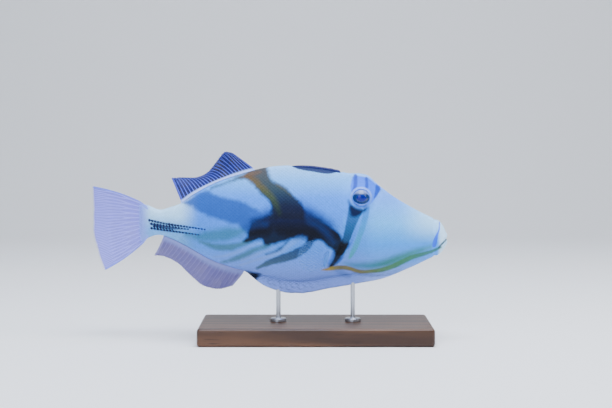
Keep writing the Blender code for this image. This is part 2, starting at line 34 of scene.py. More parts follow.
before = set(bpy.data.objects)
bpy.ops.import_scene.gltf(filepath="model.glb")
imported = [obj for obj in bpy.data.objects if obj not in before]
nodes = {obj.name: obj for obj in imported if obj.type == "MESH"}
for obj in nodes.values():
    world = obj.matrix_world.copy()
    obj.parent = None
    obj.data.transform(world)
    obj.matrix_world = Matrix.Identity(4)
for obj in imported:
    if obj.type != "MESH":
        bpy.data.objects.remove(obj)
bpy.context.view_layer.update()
mm = 0.001

print("frame loaded with", len(nodes), "nodes")

bodyShape = {
    "backLine": (
        (-73.5, 11.0), (-67.5, 9.0), (-62.0, 6.9), (-56.0, 8.3), (-49.5, 10.8), (-44.8, 14.2),
        (-33.5, 20.6), (-16.6, 26.9), (0.0, 31.0), (14.0, 31.8), (34.0, 29.9), (45.0, 27.4),
        (51.0, 27.3), (55.7, 26.0), (60.0, 22.1), (68.0, 15.7), (80.0, 8.3), (90.0, 3.2),
        (100.0, -1.2),
    ),
    "bellyLine": (
        (-73.5, -12.6), (-67.5, -8.6), (-62.0, -7.3), (-56.0, -9.2), (-45.0, -14.6),
        (-33.5, -21.1), (-20.0, -26.1), (-13.2, -28.3), (-8.2, -32.4), (-2.0, -36.6),
        (6.0, -39.3), (17.0, -40.4), (34.0, -37.6), (51.0, -34.6), (64.0, -32.0), (79.0, -26.0),
        (96.0, -18.3), (100.0, -17.0),
    ),
    "widthLine": (
        (-73.5, 0.45), (-67.5, 1.5), (-62.0, 2.9), (-50.0, 5.0), (-30.0, 8.8), (-10.0, 12.2),
        (10.0, 14.3), (28.0, 14.7), (45.0, 13.3), (60.0, 11.0), (75.0, 8.5), (90.0, 5.8),
        (100.0, 4.8),
    ),
    "widestShare": 0.54,  # height of the widest level, as a share of the depth
    "backPowers": (1.65, 0.72),
    "bellyPowers": (2.0, 0.62),
    "flapHalfWidth": 2.6,  # the thin pelvic flap
    "flapShare": 0.16,
    "flapRange": (-13.0, 0.0, 44.0, 76.0),
    "flapBlend": 4.0,
    "snoutTip": 100.0,
    "lipStart": 94.5,
    "lipGroove": (93.0, 0.05, 0.8),  # place, depth as a share, reach
    "mouthLevel": -9.5,
    "eyePlace": (51.3, 14.0),
}

eyeBoxes = {side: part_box(name) for side, name in ((-1, "eye_right"), (1, "eye_left"))}
axisHeight = (eyeBoxes[1][0][2] + eyeBoxes[1][1][2]) / 2 / mm - bodyShape["eyePlace"][1]
eyeRadius = (eyeBoxes[1][1][2] - eyeBoxes[1][0][2]) / 2 / mm
eyeDepth = (eyeBoxes[1][0][1] + eyeBoxes[1][1][1]) / 2 / mm


def ease(low, high, x):
    t = np.clip((x - low) / (high - low), 0, 1)
    return t * t * (3 - 2 * t)


def bell(distance, reach):
    return np.exp(-((distance / reach) ** 2))


def curveThrough(points):
    # a smooth function through (x, value) points
    xs, values = np.array(points, float).T
    slopes = np.gradient(values, xs)

    def valueAt(x):
        x = np.clip(x, xs[0], xs[-1])
        i = np.clip(np.searchsorted(xs, x) - 1, 0, len(xs) - 2)
        step = xs[i + 1] - xs[i]
        t = (x - xs[i]) / step
        start = (1 + 2 * t) * (1 - t) ** 2 * values[i] + t * (1 - t) ** 2 * step * slopes[i]
        end = t * t * (3 - 2 * t) * values[i + 1] - t * t * (1 - t) * step * slopes[i + 1]
        return start + end

    return valueAt


backLine = curveThrough(bodyShape["backLine"])
bellyLine = curveThrough(bodyShape["bellyLine"])
widthLine = curveThrough(bodyShape["widthLine"])


def lipScale(x):
    place, depth, reach = bodyShape["lipGroove"]
    start, tip = bodyShape["lipStart"], bodyShape["snoutTip"]
    past = np.clip((x - start) / (tip - start), 0, 1)
    scale = (1 - depth * bell(x - place, reach)) * np.sqrt(1 - past**2)
    return np.where(x > 88, scale, 1.0)


def backAt(x):
    middle = np.where(x > 88, bodyShape["mouthLevel"], 0)
    return middle + (backLine(x) - middle) * lipScale(x)


def bellyAt(x):
    middle = np.where(x > 88, bodyShape["mouthLevel"], 0)
    return middle + (bellyLine(x) - middle) * lipScale(x)


def widestAt(x):
    return bellyAt(x) + bodyShape["widestShare"] * (backAt(x) - bellyAt(x))


def halfWidth(x, z):
    # half the body's width at a place on its side
    x, z = np.broadcast_arrays(np.asarray(x, float), np.asarray(z, float))
    top, foot, widest = backAt(x), bellyAt(x), widestAt(x)
    full = widthLine(x) * lipScale(x)
    up = np.clip((z - widest) / np.maximum(top - widest, 1e-6), 0, 1)
    down = np.clip((widest - z) / np.maximum(widest - foot, 1e-6), 0, 1)
    start, whole, fade, end = bodyShape["flapRange"]
    flap = ease(start, whole, x) * (1 - ease(fade, end, x))
    upper = full * (1 - up ** bodyShape["backPowers"][0]) ** bodyShape["backPowers"][1]
    reach = 1 - bodyShape["flapShare"] * flap
    belly = full * np.maximum(0, 1 - (down / reach) ** bodyShape["bellyPowers"][0])
    belly = full * (belly / np.maximum(full, 1e-9)) ** bodyShape["bellyPowers"][1]
    keel = bodyShape["flapHalfWidth"] * flap * np.sqrt(1 - down**8)
    blend = bodyShape["flapBlend"]
    lower = (belly**blend + keel**blend) ** (1 / blend)
    return np.where(z >= widest, upper, lower)


def sideNormals(x, z, side):
    step = 0.15
    along = (halfWidth(x + step, z) - halfWidth(x - step, z)) / (2 * step)
    up = (halfWidth(x, z + step) - halfWidth(x, z - step)) / (2 * step)
    normals = np.stack([-along, side * np.ones_like(along), -up], axis=-1)
    return normals / np.linalg.norm(normals, axis=-1, keepdims=True)


def sidePoints(x, z, side, lift=0.0):
    points = np.stack([x + 0 * z, side * halfWidth(x, z), z + 0 * x], axis=-1)
    return points + sideNormals(x, z, side) * lift


def inRow(points):
    # from fish millimetres to metres above the floor
    return (np.asarray(points, float).reshape(-1, 3) + (0, 0, axisHeight)) * mm


def toLinear(code):
    # an sRGB hex colour as linear red, green, blue and alpha
    channels = [int(code[i : i + 2], 16) / 255 for i in (1, 3, 5)]
    return [c / 12.92 if c <= 0.04045 else ((c + 0.055) / 1.055) ** 2.4 for c in channels] + [1.0]


def addNode(tree, kind, inputs=None, **settings):
    # a node with its settings. An input takes a value, a hex colour, a socket to link, or a node
    # whose first output is linked
    node = tree.nodes.new(kind)
    for name, value in settings.items():
        setattr(node, name, value)
    for name, value in (inputs or {}).items():
        if isinstance(value, bpy.types.Node):
            value = value.outputs[0]
        if isinstance(value, bpy.types.NodeSocket):
            tree.links.new(value, node.inputs[name])
        else:
            isColour = isinstance(value, str) and value.startswith("#")
            node.inputs[name].default_value = toLinear(value) if isColour else value
    return node


def startMaterial(name):
    material = bpy.data.materials.new(name)
    material.use_nodes = True
    material.node_tree.nodes.clear()
    return material, material.node_tree


def setStops(node, stops):
    ramp = node.color_ramp
    while len(ramp.elements) > 1:
        ramp.elements.remove(ramp.elements[-1])
    ramp.elements[0].position = stops[0][0]
    ramp.elements[0].color = toLinear(stops[0][1])
    for position, code in stops[1:]:
        ramp.elements.new(position).color = toLinear(code)
    return node


def addObject(name, data):
    piece = bpy.data.objects.new(name, data)
    bpy.context.scene.collection.objects.link(piece)
    return piece


def meshPiece(name, points, faces, material):
    mesh = bpy.data.meshes.new(name)
    mesh.from_pydata(inRow(points).tolist(), [], faces)
    mesh.update()
    piece = addObject(name, mesh)
    mesh.materials.append(material)
    mesh.shade_smooth()
    return piece


def keepField(mesh, name, values):
    field = mesh.attributes.new(name, "FLOAT", "POINT")
    field.data.foreach_set("value", np.asarray(values, np.float32).ravel())


def finished(piece, slot, *replaced):
    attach(piece, "root")
    if replaced:
        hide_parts(*replaced)


# Markings. A stroke is a line with a half width at each point, and a region is a closed outline.
# Every mesh of the skin keeps its distance to each marking, and the material draws the edge.
# soft is half the width of the edge, in millimetres.

markings = {
    "pale": {
        "soft": 0.8, "share": 0.55,
        "ramp": ("z", ((-24, "#7c94cc"), (-14, "#6c9ce4"), (-7, "#5ca0f4"))),
        "strokes": (
            ((19.4, -7.0, 0.8), (13.8, -10.1, 1.4), (7.0, -15.2, 1.3), (0.3, -18.3, 1.1),
             (-7.6, -20.8, 0.8), (-16.6, -24.2, 0.5)),
            ((-4.2, -11.0, 0.5), (-9.9, -12.7, 0.9), (-16.6, -15.8, 1.0), (-24.5, -18.6, 0.7),
             (-31.3, -19.4, 0.3)),
            ((3.7, -13.2, 0.3), (-2.0, -15.5, 0.7), (-8.7, -18.3, 0.9), (-15.5, -21.4, 0.6)),
        ),
    },
    "teal": {
        "soft": 2.4, "share": 0.8, "cloud": 2.0, "colour": "#2c7088",
        "strokes": (
            ((-13.0, -3.5, 1.5), (-19.0, -5.5, 3.0), (-28.0, -6.5, 3.5), (-38.0, -8.0, 2.5),
             (-46.0, -7.0, 1.0)),
        ),
    },
    "blueBand": {
        "soft": 1.5, "share": 0.88, "cloud": 1.5, "colour": "#164a9e",
        "regions": (
            ((-35.8, 17.5), (-25.1, 14.1), (-16.6, 12.4), (-11.0, 10.1), (-6.5, 7.3), (-2.0, 3.4),
             (-2.0, -5.6), (-9.9, -5.6), (-14.4, -3.4), (-17.7, -0.8), (-23.4, 0.6),
             (-34.6, 4.2), (-44.8, 9.3), (-48.7, 10.4), (-44.8, 13.5), (-40.3, 16.1)),
        ),
    },
    "moss": {
        "soft": 1.2, "share": 0.7, "cloud": 1.2, "colour": "#3a6448",
        "strokes": (
            ((0.3, -11.8, 1.1), (-7.6, -14.9, 1.5), (-13.8, -18.0, 1.4), (-19.4, -20.6, 1.2),
             (-26.8, -22.5, 0.5)),
            ((-9.9, -9.6, 0.9), (-16.6, -12.1, 1.6), (-23.4, -13.8, 1.8), (-31.3, -13.2, 1.5),
             (-39.2, -10.7, 0.6)),
        ),
    },
    "streak": {
        "soft": 0.8, "share": 0.85,
        "cloud": 1.0,
        "ramp": ("z", ((-24, "#3e5650"), (-20, "#2a3c3c"), (-16, "#1c2e38"), (-13, "#122044"),
                       (-9, "#081632"))),
        "strokes": (
            ((23.6, -9.0, 1.8), (20.9, -12.9, 2.1), (15.5, -16.5, 2.3), (10.1, -19.0, 2.3),
             (2.9, -21.1, 2.0), (-2.6, -23.4, 1.3), (-7.0, -25.6, 0.6)),
        ),
    },
    "sky": {
        "soft": 0.55, "share": 0.88,
        "ramp": ("z", ((-22, "#2a6cd8"), (-12, "#2a6cd8"), (2, "#3c98f8"), (12, "#2c74fa"),
                       (24, "#1260f0"))),
        "regions": (
            ((46.4, 24.6), (47.2, 25.6), (49.5, 26.0), (55.3, 25.0), (58.8, 22.2), (62.6, 18.9),
             (61.2, 16.2), (57.7, 11.8), (54.4, 10.7), (45.9, 17.5)),
            ((51.8, 5.6), (49.6, 1.1), (47.6, -3.9), (45.6, -9.0), (43.7, -13.5), (44.5, -14.4),
             (47.0, -9.6), (49.6, -3.7), (51.6, 1.1), (52.7, 5.6)),
        ),
        "strokes": (
            ((42.0, 4.5, 0.5), (41.6, -2.3, 0.8), (41.0, -6.8, 0.6), (40.6, -10.1, 0.2)),
            ((36.1, -15.2, 0.5), (34.9, -19.2, 1.0), (33.2, -22.5, 0.6)),
            ((41.7, -18.0, 0.5), (39.7, -20.8, 0.8), (38.0, -22.5, 0.3)),
        ),
    },
    "rearBar": {
        "soft": 0.6, "share": 0.85,
        "ramp": ("z", ((-20, "#3a9c98"), (0, "#1a88d4"), (8, "#1a70cc"))),
        "strokes": (
            ((54.4, 8.5, 1.7), (53.5, 3.4, 1.7), (52.0, -2.3, 1.6), (50.0, -7.9, 1.5),
             (48.2, -13.0, 1.5), (46.2, -16.9, 1.2), (44.8, -19.7, 0.6)),
        ),
    },
    "eyeBar": {
        "soft": 0.5, "share": 0.97,
        "ramp": ("z", ((-16, "#0b2038"), (-4, "#1c4e7e"), (4, "#205a98"))),
        "regions": (
            ((44.8, 9.6), (43.4, 3.4), (42.3, -2.3), (40.8, -8.5), (38.6, -13.0), (37.5, -17.5),
             (41.1, -17.5), (43.7, -12.4), (45.6, -7.9), (47.6, -2.8), (49.6, 1.7), (52.1, 7.3),
             (48.7, 9.0)),
        ),
    },
    "halo": {
        "soft": 3.0, "share": 0.85, "cloud": 1.6,
        "ramp": ("z", ((-4, "#16408c"), (4, "#1f54ac"), (13, "#2e6ed8"))),
        "regions": (
            ((4.0, 13.0), (9.5, 15.0), (14.6, 14.4), (20.6, 12.2), (26.6, 8.8), (32.0, 5.0),
             (36.6, -0.4), (38.5, -7.0), (33.0, -8.0), (6.0, -6.0), (2.0, 4.0)),
            ((-0.4, 10.4), (-4.0, 7.4), (-8.5, 5.6), (-12.2, 2.6), (-12.6, -3.0), (-10.5, -6.5),
             (0.0, -6.0), (3.0, 2.0)),
        ),
    },
    "shade": {
        "soft": 2.6, "share": 0.97, "cloud": 1.6,
        "ramp": ("z", ((-4, "#030920"), (2, "#050f34"), (5, "#0a1f54"), (9, "#123680"),
                       (14, "#1c4a9c"))),
        "regions": (
            ((4.0, 11.0), (9.5, 12.5), (14.6, 11.2), (20.6, 8.4), (26.0, 4.6), (31.0, 1.4),
             (34.6, -3.0), (38.0, -8.0), (33.0, -8.5), (6.0, -6.0), (2.0, 4.0)),
            ((1.4, 6.8), (-3.4, 4.2), (-7.6, 2.6), (-9.8, 0.2), (-11.0, -3.6), (-10.5, -6.5),
             (0.0, -6.0), (3.0, 0.0)),
        ),
    },
    "olive": {
        "soft": 1.5, "share": 0.95, "cloud": 1.6,
        "ramp": ("z", ((-2, "#030920"), (4, "#050b22"), (9, "#080e28"), (13, "#0e1a28"),
                       (16, "#182422"), (19, "#263228"), (24, "#363624"), (29, "#3e3422"))),
        "regions": (
            ((-18.0, 24.2), (-12.2, 24.2), (-9.7, 22.0), (-6.8, 19.1), (-3.2, 15.5), (-0.7, 13.0),
             (0.7, 9.8), (1.1, 6.5), (2.0, -2.0), (18.0, -2.0), (20.0, 5.0), (19.4, 9.0),
             (16.4, 13.0), (12.6, 16.4), (9.4, 19.5), (2.9, 22.7), (-0.7, 29.0),
             (-1.4, 33.2), (-7.6, 32.1), (-13.2, 28.2)),
        ),
        "strokes": (
            ((-32.4, 19.2, 0.2), (-25.6, 21.7, 0.5), (-18.9, 24.2, 0.8), (-13.8, 25.9, 1.4)),
        ),
    },
    "leafGreen": {
        "soft": 1.6, "share": 0.8, "cloud": 1.2,
        "ramp": ("z", ((5, "#142420"), (8, "#1e3026"), (11, "#2c3c28"), (14, "#3a482a"),
                       (17, "#484e2a"), (20, "#58502a"), (24, "#624e2a"), (28, "#624428"))),
        "strokes": (
            ((-12.5, 25.6, 1.2), (-9.0, 23.8, 1.6), (-5.0, 20.4, 1.9), (-1.4, 16.8, 1.9),
             (1.6, 13.6, 1.9), (3.6, 10.6, 1.8), (5.0, 8.0, 1.5), (6.0, 5.5, 0.8)),
        ),
    },
    "ochre": {
        "soft": 1.0, "share": 0.5, "cloud": 1.0,
        "ramp": ("z", ((10, "#38442c"), (18, "#4e4c26"), (22, "#5a5028"), (26, "#6e4c2a"))),
        "strokes": (
            ((4.0, 21.6, 0.3), (6.6, 20.2, 0.8), (10.8, 17.4, 0.8), (16.0, 12.8, 0.4)),
            ((-16.0, 25.2, 0.4), (-12.0, 26.6, 1.3), (-8.5, 27.6, 1.1), (-5.0, 28.4, 0.5)),
        ),
    },
    "navy": {
        "soft": 1.3, "share": 0.97, "cloud": 1.0,
        "ramp": ("z", ((-12, "#01040c"), (-4, "#020618"), (0, "#030b28"), (2, "#050f34"))),
        "regions": (
            ((-3.0, 1.4), (-7.0, 0.6), (-9.8, -1.6), (-11.4, -4.6), (-12.1, -7.6), (-14.4, -10.4),
             (-9.9, -10.4), (-4.2, -9.2), (-2.5, -12.3), (3.1, -11.5), (9.3, -9.9), (11.5, -8.2),
             (14.9, -7.0), (18.9, -5.8), (20.8, -7.0), (22.3, -10.1), (26.2, -9.0),
             (30.1, -10.4), (33.5, -13.5), (36.1, -15.5), (35.2, -20.3), (33.0, -24.8),
             (35.4, -25.0), (39.3, -20.8), (42.2, -15.8), (44.5, -11.3), (41.4, -10.7),
             (40.0, -6.6), (37.0, -4.0), (33.5, -2.2), (29.0, -0.4), (24.0, 1.2), (16.0, 2.2),
             (8.0, 2.4), (2.0, 2.0)),
            ((44.2, 12.4), (45.3, 11.2), (46.6, 9.7), (48.2, 8.5), (50.2, 7.8), (52.2, 7.7),
             (54.4, 8.6), (52.7, 6.2), (49.9, 4.0), (45.6, 4.2)),
            ((-13.8, -27.6), (-9.3, -28.0), (-4.8, -29.0), (-6.5, -30.7), (-7.6, -33.6),
             (-9.9, -32.4), (-11.5, -29.8)),
            ((-13.0, -28.0), (-8.6, -28.6), (-5.4, -29.4), (-6.6, -31.6), (-8.0, -34.6),
             (-10.6, -32.6)),
        ),
        "strokes": (
            ((11.2, -7.6, 0.7), (9.6, -10.6, 0.55), (7.2, -13.2, 0.45), (4.7, -15.1, 0.4),
             (1.7, -16.4, 0.3), (-1.6, -17.6, 0.1)),
        ),
    },
    "slate": {
        "soft": 2.4, "share": 0.55, "cloud": 1.4, "colour": "#12306c",
        "strokes": (
            ((22.0, 1.0, 0.8), (28.0, -1.8, 1.5), (32.6, -6.0, 1.5), (36.0, -10.6, 0.8)),
            ((-9.4, -2.4, 0.8), (-6.0, -0.6, 1.6), (-1.6, -0.4, 1.0)),
        ),
    },
    "crownBars": {
        "soft": 0.5, "share": 0.95, "colour": "#0c40b4",
        "regions": (
            ((60.0, 21.0), (62.3, 19.5), (61.5, 17.0), (58.6, 13.3), (59.2, 17.5)),
        ),
        "strokes": (
            ((48.4, 26.0, 1.0), (48.3, 23.5, 1.1), (48.1, 20.7, 1.0), (46.5, 17.5, 0.4)),
            ((54.5, 24.6, 0.8), (54.6, 21.5, 0.9), (54.4, 18.4, 0.7)),
        ),
    },
    "jawShade": {
        "soft": 2.2, "share": 0.85,
        "ramp": ("x", ((42, "#3a80b4"), (56, "#2f7c88"), (66, "#33785c"), (86, "#3c8068"),
                       (94, "#5c9ca0"))),
        "strokes": (
            ((42.5, -22.6, 0.4), (47.6, -23.8, 1.4), (56.6, -24.2, 2.0), (65.1, -22.6, 2.3),
             (73.5, -19.6, 2.2), (82.0, -16.4, 1.6), (90.4, -13.8, 0.6)),
        ),
    },
    "jawLine": {
        "soft": 0.55, "share": 0.92,
        "ramp": ("x", ((30, "#a88810"), (36, "#8e7c18"), (40, "#6c6420"), (45, "#807420"),
                       (52, "#7c7630"), (62, "#5a8040"), (74, "#407c4c"), (95, "#3c7060"))),
        "strokes": (
            ((29.4, -26.5, 0.3), (33.4, -26.0, 1.0), (37.0, -25.4, 1.3), (40.6, -25.1, 1.4),
             (43.4, -25.4, 1.3), (46.0, -26.1, 1.2), (48.5, -27.1, 1.2), (51.3, -27.8, 1.2),
             (54.9, -27.8, 1.1), (58.5, -27.4, 1.2), (62.1, -26.9, 1.3), (65.7, -25.9, 1.4),
             (69.3, -24.6, 1.5), (72.9, -22.9, 1.5), (76.5, -21.1, 1.5), (80.1, -19.5, 1.4),
             (85.9, -17.9, 1.2), (91.6, -16.2, 0.9), (96.1, -14.0, 0.7)),
        ),
    },
    # painted shade: a darker blue-grey on the chin under the jaw line, where shadow falls
    "paintedThroatShade": {
        "soft": 1.5, "share": 0.5, "colour": "#4a6cb8",
        "strokes": (((37.5, -27.2, 0.5), (41.0, -28.8, 1.6), (45.0, -30.6, 0.8)),),
    },
    "lipBlue": {
        "soft": 0.35, "share": 0.95, "colour": "#1a58f0",
        "strokes": (
            ((95.8, 0.0, 0.3), (95.3, -3.9, 0.4), (94.1, -6.8, 0.6), (93.1, -10.1, 1.2),
             (92.4, -13.0, 1.1)),
        ),
    },
    # painted shade: a dark stroke in the mouth slit and under the lower lip
    "paintedMouthShade": {
        "soft": 0.3, "share": 0.8, "colour": "#324c56",
        "strokes": (((95.2, -14.1, 0.4), (96.9, -12.2, 0.5), (101.0, -8.6, 0.4)),),
    },
    "spineSheath": {
        "soft": 0.35, "share": 0.96, "colour": "#080e4c",
        "regions": (
            ((12.7, 31.6), (17.2, 33.0), (25.0, 33.0), (31.0, 32.0), (36.0, 29.6), (37.6, 28.1),
             (33.0, 27.2), (28.5, 27.7), (24.0, 28.5), (17.2, 29.6)),
        ),
    },
    "spineRows": {
        "soft": 0.5, "share": 0.8, "colour": "#10164a",
        "strokes": (
            ((-68.0, 1.2, 0.3), (-62.5, 0.0, 0.5), (-57.4, -0.9, 0.5), (-50.8, -1.9, 0.4),
             (-44.1, -2.6, 0.2), (-36.0, -3.8, 0.1)),
            ((-66.7, -1.0, 0.5), (-61.7, -2.2, 1.0), (-55.5, -3.1, 0.9), (-49.3, -3.6, 0.4),
             (-45.5, -3.9, 0.1)),
            ((-66.7, -3.4, 0.3), (-58.8, -4.7, 0.5), (-50.8, -5.4, 0.5), (-44.7, -6.2, 0.3),
             (-39.5, -6.9, 0.1)),
        ),
    },
    "eyeRing": {
        "soft": 0.4, "share": 0.85,
        "ramp": ("z", ((7, "#345fae"), (11, "#4c84e0"), (17, "#86acff"))),
        "circle": (51.3, 14.0, 5.6, 0.55),
    },
}


def smoothPath(points, closed, cuts=5):
    # points on a smooth line through the ones given
    given = np.array(points, float)
    if closed:
        padded = np.concatenate([given[-1:], given, given[:2]])
    else:
        padded = np.concatenate([2 * given[:1] - given[1:2], given, 2 * given[-1:] - given[-2:-1]])
    path = []
    for before, start, end, after in zip(padded, padded[1:], padded[2:], padded[3:]):
        for t in np.arange(cuts) / cuts:
            path.append(
                0.5 * (2 * start + (end - before) * t
                       + (2 * before - 5 * start + 4 * end - after) * t**2
                       + (3 * start - before - 3 * end + after) * t**3)
            )
    path.append(padded[-2])
    return np.array(path)


def distanceTo(x, z, points, closed):
    # how far a place is outside a stroke or a region, and less than 0 inside it
    path = smoothPath(points, closed)
    nearest = np.full(x.shape, 1e3)
    inside = np.zeros(x.shape, bool)
    for start, end in zip(path, path[1:]):
        run = end[:2] - start[:2]
        t = ((x - start[0]) * run[0] + (z - start[1]) * run[1]) / max(run @ run, 1e-9)
        t = np.clip(t, 0, 1)
        away = np.hypot(x - start[0] - t * run[0], z - start[1] - t * run[1])
        if closed:
            if start[1] != end[1]:
                crossing = start[0] + (z - start[1]) / (end[1] - start[1]) * run[0]
                inside ^= ((start[1] > z) != (end[1] > z)) & (x < crossing)
        else:
            away = away - start[2] - t * (end[2] - start[2])
        nearest = np.minimum(nearest, away)
    return np.where(inside, -nearest, nearest)


def keepMarkings(piece):
    # the distance from each vertex to each marking, as a share of its soft edge
    mesh = piece.data
    places = np.empty(len(mesh.vertices) * 3, np.float32)
    mesh.vertices.foreach_get("co", places)
    places = places.reshape(-1, 3) / mm
    x, z = places[:, 0], places[:, 2] - axisHeight
    for name, marking in markings.items():
        field = np.full(len(x), 40.0)
        for points in marking.get("strokes", ()):
            field = np.minimum(field, distanceTo(x, z, points, False))
        for points in marking.get("regions", ()):
            field = np.minimum(field, distanceTo(x, z, points, True))
        if "circle" in marking:
            middleX, middleZ, radius, half = marking["circle"]
            away = np.abs(np.hypot(x - middleX, z - middleZ) - radius)
            field = np.minimum(field, away - half)
        keepField(mesh, name, field / marking["soft"])


skinLooks = {
    "body": ((-40, "#869ef2"), (-28, "#7598f0"), (-14, "#448ce8"), (4, "#3686f2"),
             (14, "#3a8cf6"), (24, "#62b2ff"), (32, "#90caff")),
    "head": ((-34, "#9ab2fa"), (-22, "#5c9cf2"), (-12, "#2c9afa"), (0, "#54b6ff"),
             (14, "#5c9eff"), (28, "#84b2ff")),
    "stalk": ((-24, "#6c94c8"), (-12, "#5c98cc"), (-4, "#68b0f4"), (4, "#a8dcff"),
              (12, "#bce6ff")),
    "lip": "#bce4ff",
    "snout": "#a0d8ff",
    "tailRoot": "#8298f0",
    "headFrom": (44, 62),
    "stalkFrom": (-38, -52),
    "lipFrom": (94.2, 96.5),
    "snoutFrom": (70, 92),
    "snoutOver": (-14, 2),  # the snout's pale colour starts over these levels
    "tailRootFrom": (-66, -72.5),
    "cloudSize": 5.0,  # of the clouds that break up the wide soft edges, in millimetres
    "mottleSize": 1.6,  # real size of the soft mottling, in millimetres
    "grainSize": 0.22,  # the skin's grainy scale faces, coarser than life so that they show
    "wobbleSize": 1.4,
    "edgeWobble": 0.9,  # how far a marking's edge strays
    "wobbleReach": 0.6,
    "mottleTones": (0.9, 1.08),
    "rimShade": 0.42,  # how bright a scale is at its rim, under the painted shade of the groove round it
    "roughness": (0.41, 0.58),
}


def skinMaterial(name, grain):
    # triggerfish hide in painted resin: a satin skin with soft colour and sharp dark bars
    material, tree = startMaterial(name)
    place = addNode(tree, "ShaderNodeTexCoord").outputs["Object"]
    split = addNode(tree, "ShaderNodeSeparateXYZ", {0: place})
    axes = {
        axis: addNode(
            tree, "ShaderNodeMath", {0: split.outputs[axis.upper()], 1: 1 / mm, 2: shift},
            operation="MULTIPLY_ADD",
        )
        for axis, shift in (("x", 0.0), ("z", -axisHeight))
    }

    def rampAlong(axis, stops):
        low, high = stops[0][0], stops[-1][0]
        share = addNode(tree, "ShaderNodeMapRange", {0: axes[axis], 1: low, 2: high})
        ramp = addNode(tree, "ShaderNodeValToRGB", {0: share})
        return setStops(ramp, [((at - low) / (high - low), code) for at, code in stops])

    colour = rampAlong("z", skinLooks["body"])
    low, high = skinLooks["snoutOver"]
    above = addNode(
        tree, "ShaderNodeMapRange", {0: axes["z"], 1: low, 2: high},
        interpolation_type="SMOOTHSTEP",
    )
    for part in ("head", "snout", "stalk", "tailRoot", "lip"):
        start, whole = skinLooks[part + "From"]
        share = addNode(
            tree, "ShaderNodeMapRange", {0: axes["x"], 1: start, 2: whole},
            interpolation_type="SMOOTHSTEP",
        )
        if part == "snout":
            share = addNode(tree, "ShaderNodeMath", {0: share, 1: above}, operation="MULTIPLY")
        over = skinLooks[part]
        over = over if isinstance(over, str) else rampAlong("z", over)
        colour = addNode(
            tree, "ShaderNodeMix", {"Factor": share, 6: colour, 7: over}, data_type="RGBA"
        ).outputs[2]

    noise = {
        size: addNode(
            tree, "ShaderNodeTexNoise",
            {"Vector": place, "Scale": 1 / (skinLooks[size] * mm), "Detail": detail,
             "Roughness": 0.6},
        )
        for size, detail in (("wobbleSize", 3.0), ("cloudSize", 4.0), ("mottleSize", 4.0),
                             ("grainSize", 2.0))
    }
    wobble, cloud = (
        addNode(
            tree, "ShaderNodeMath", {0: noise[size], 1: reach, 2: -reach / 2},
            operation="MULTIPLY_ADD",
        )
        for size, reach in (("wobbleSize", skinLooks["edgeWobble"]), ("cloudSize", 2.0))
    )
    for marking, looks in markings.items():
        edge = addNode(tree, "ShaderNodeAttribute", attribute_name=marking).outputs["Fac"]
        for waver, reach in ((wobble, skinLooks["wobbleReach"]), (cloud, looks.get("cloud"))):
            if reach:
                edge = addNode(
                    tree, "ShaderNodeMath", {0: waver, 1: reach / looks["soft"], 2: edge},
                    operation="MULTIPLY_ADD",
                )
        cover = addNode(
            tree, "ShaderNodeMapRange", {0: edge, 1: 1.0, 2: -1.0, 4: looks["share"]},
            interpolation_type="SMOOTHSTEP",
        )
        over = rampAlong(*looks["ramp"]) if "ramp" in looks else looks["colour"]
        colour = addNode(
            tree, "ShaderNodeMix", {"Factor": cover, 6: colour, 7: over}, data_type="RGBA"
        ).outputs[2]

    darker, brighter = skinLooks["mottleTones"]
    mottle = addNode(
        tree, "ShaderNodeMapRange",
        {0: noise["mottleSize"], 1: 0.25, 2: 0.75, 3: darker, 4: brighter},
    )
    # painted shade: each scale is darkened towards its rim, as if shadow lay in the grooves between
    # the scales
    rim = addNode(tree, "ShaderNodeAttribute", attribute_name="rim").outputs["Fac"]
    outline = addNode(
        tree, "ShaderNodeMapRange", {0: rim, 1: 0.15, 2: 0.95, 3: 1.0, 4: skinLooks["rimShade"]}
    )
    tone = addNode(tree, "ShaderNodeMath", {0: mottle, 1: outline}, operation="MULTIPLY")
    colour = addNode(tree, "ShaderNodeVectorMath", {0: colour, "Scale": tone}, operation="SCALE")
    smooth, dull = skinLooks["roughness"]
    rough = addNode(
        tree, "ShaderNodeMapRange", {0: noise["grainSize"], 1: 0.2, 2: 0.8, 3: smooth, 4: dull}
    )
    bump = addNode(
        tree, "ShaderNodeBump",
        {"Strength": grain, "Distance": 0.08 * mm, "Height": noise["grainSize"]},
    )
    shader = addNode(
        tree, "ShaderNodeBsdfPrincipled",
        {"Base Color": colour, "Roughness": rough, "Normal": bump, "IOR": 1.45,
         "Specular IOR Level": 0.18},
    )
    addNode(tree, "ShaderNodeOutputMaterial", {0: shader})
    return material


# The skin: one closed surface from the fleshy root of the tail to the lips

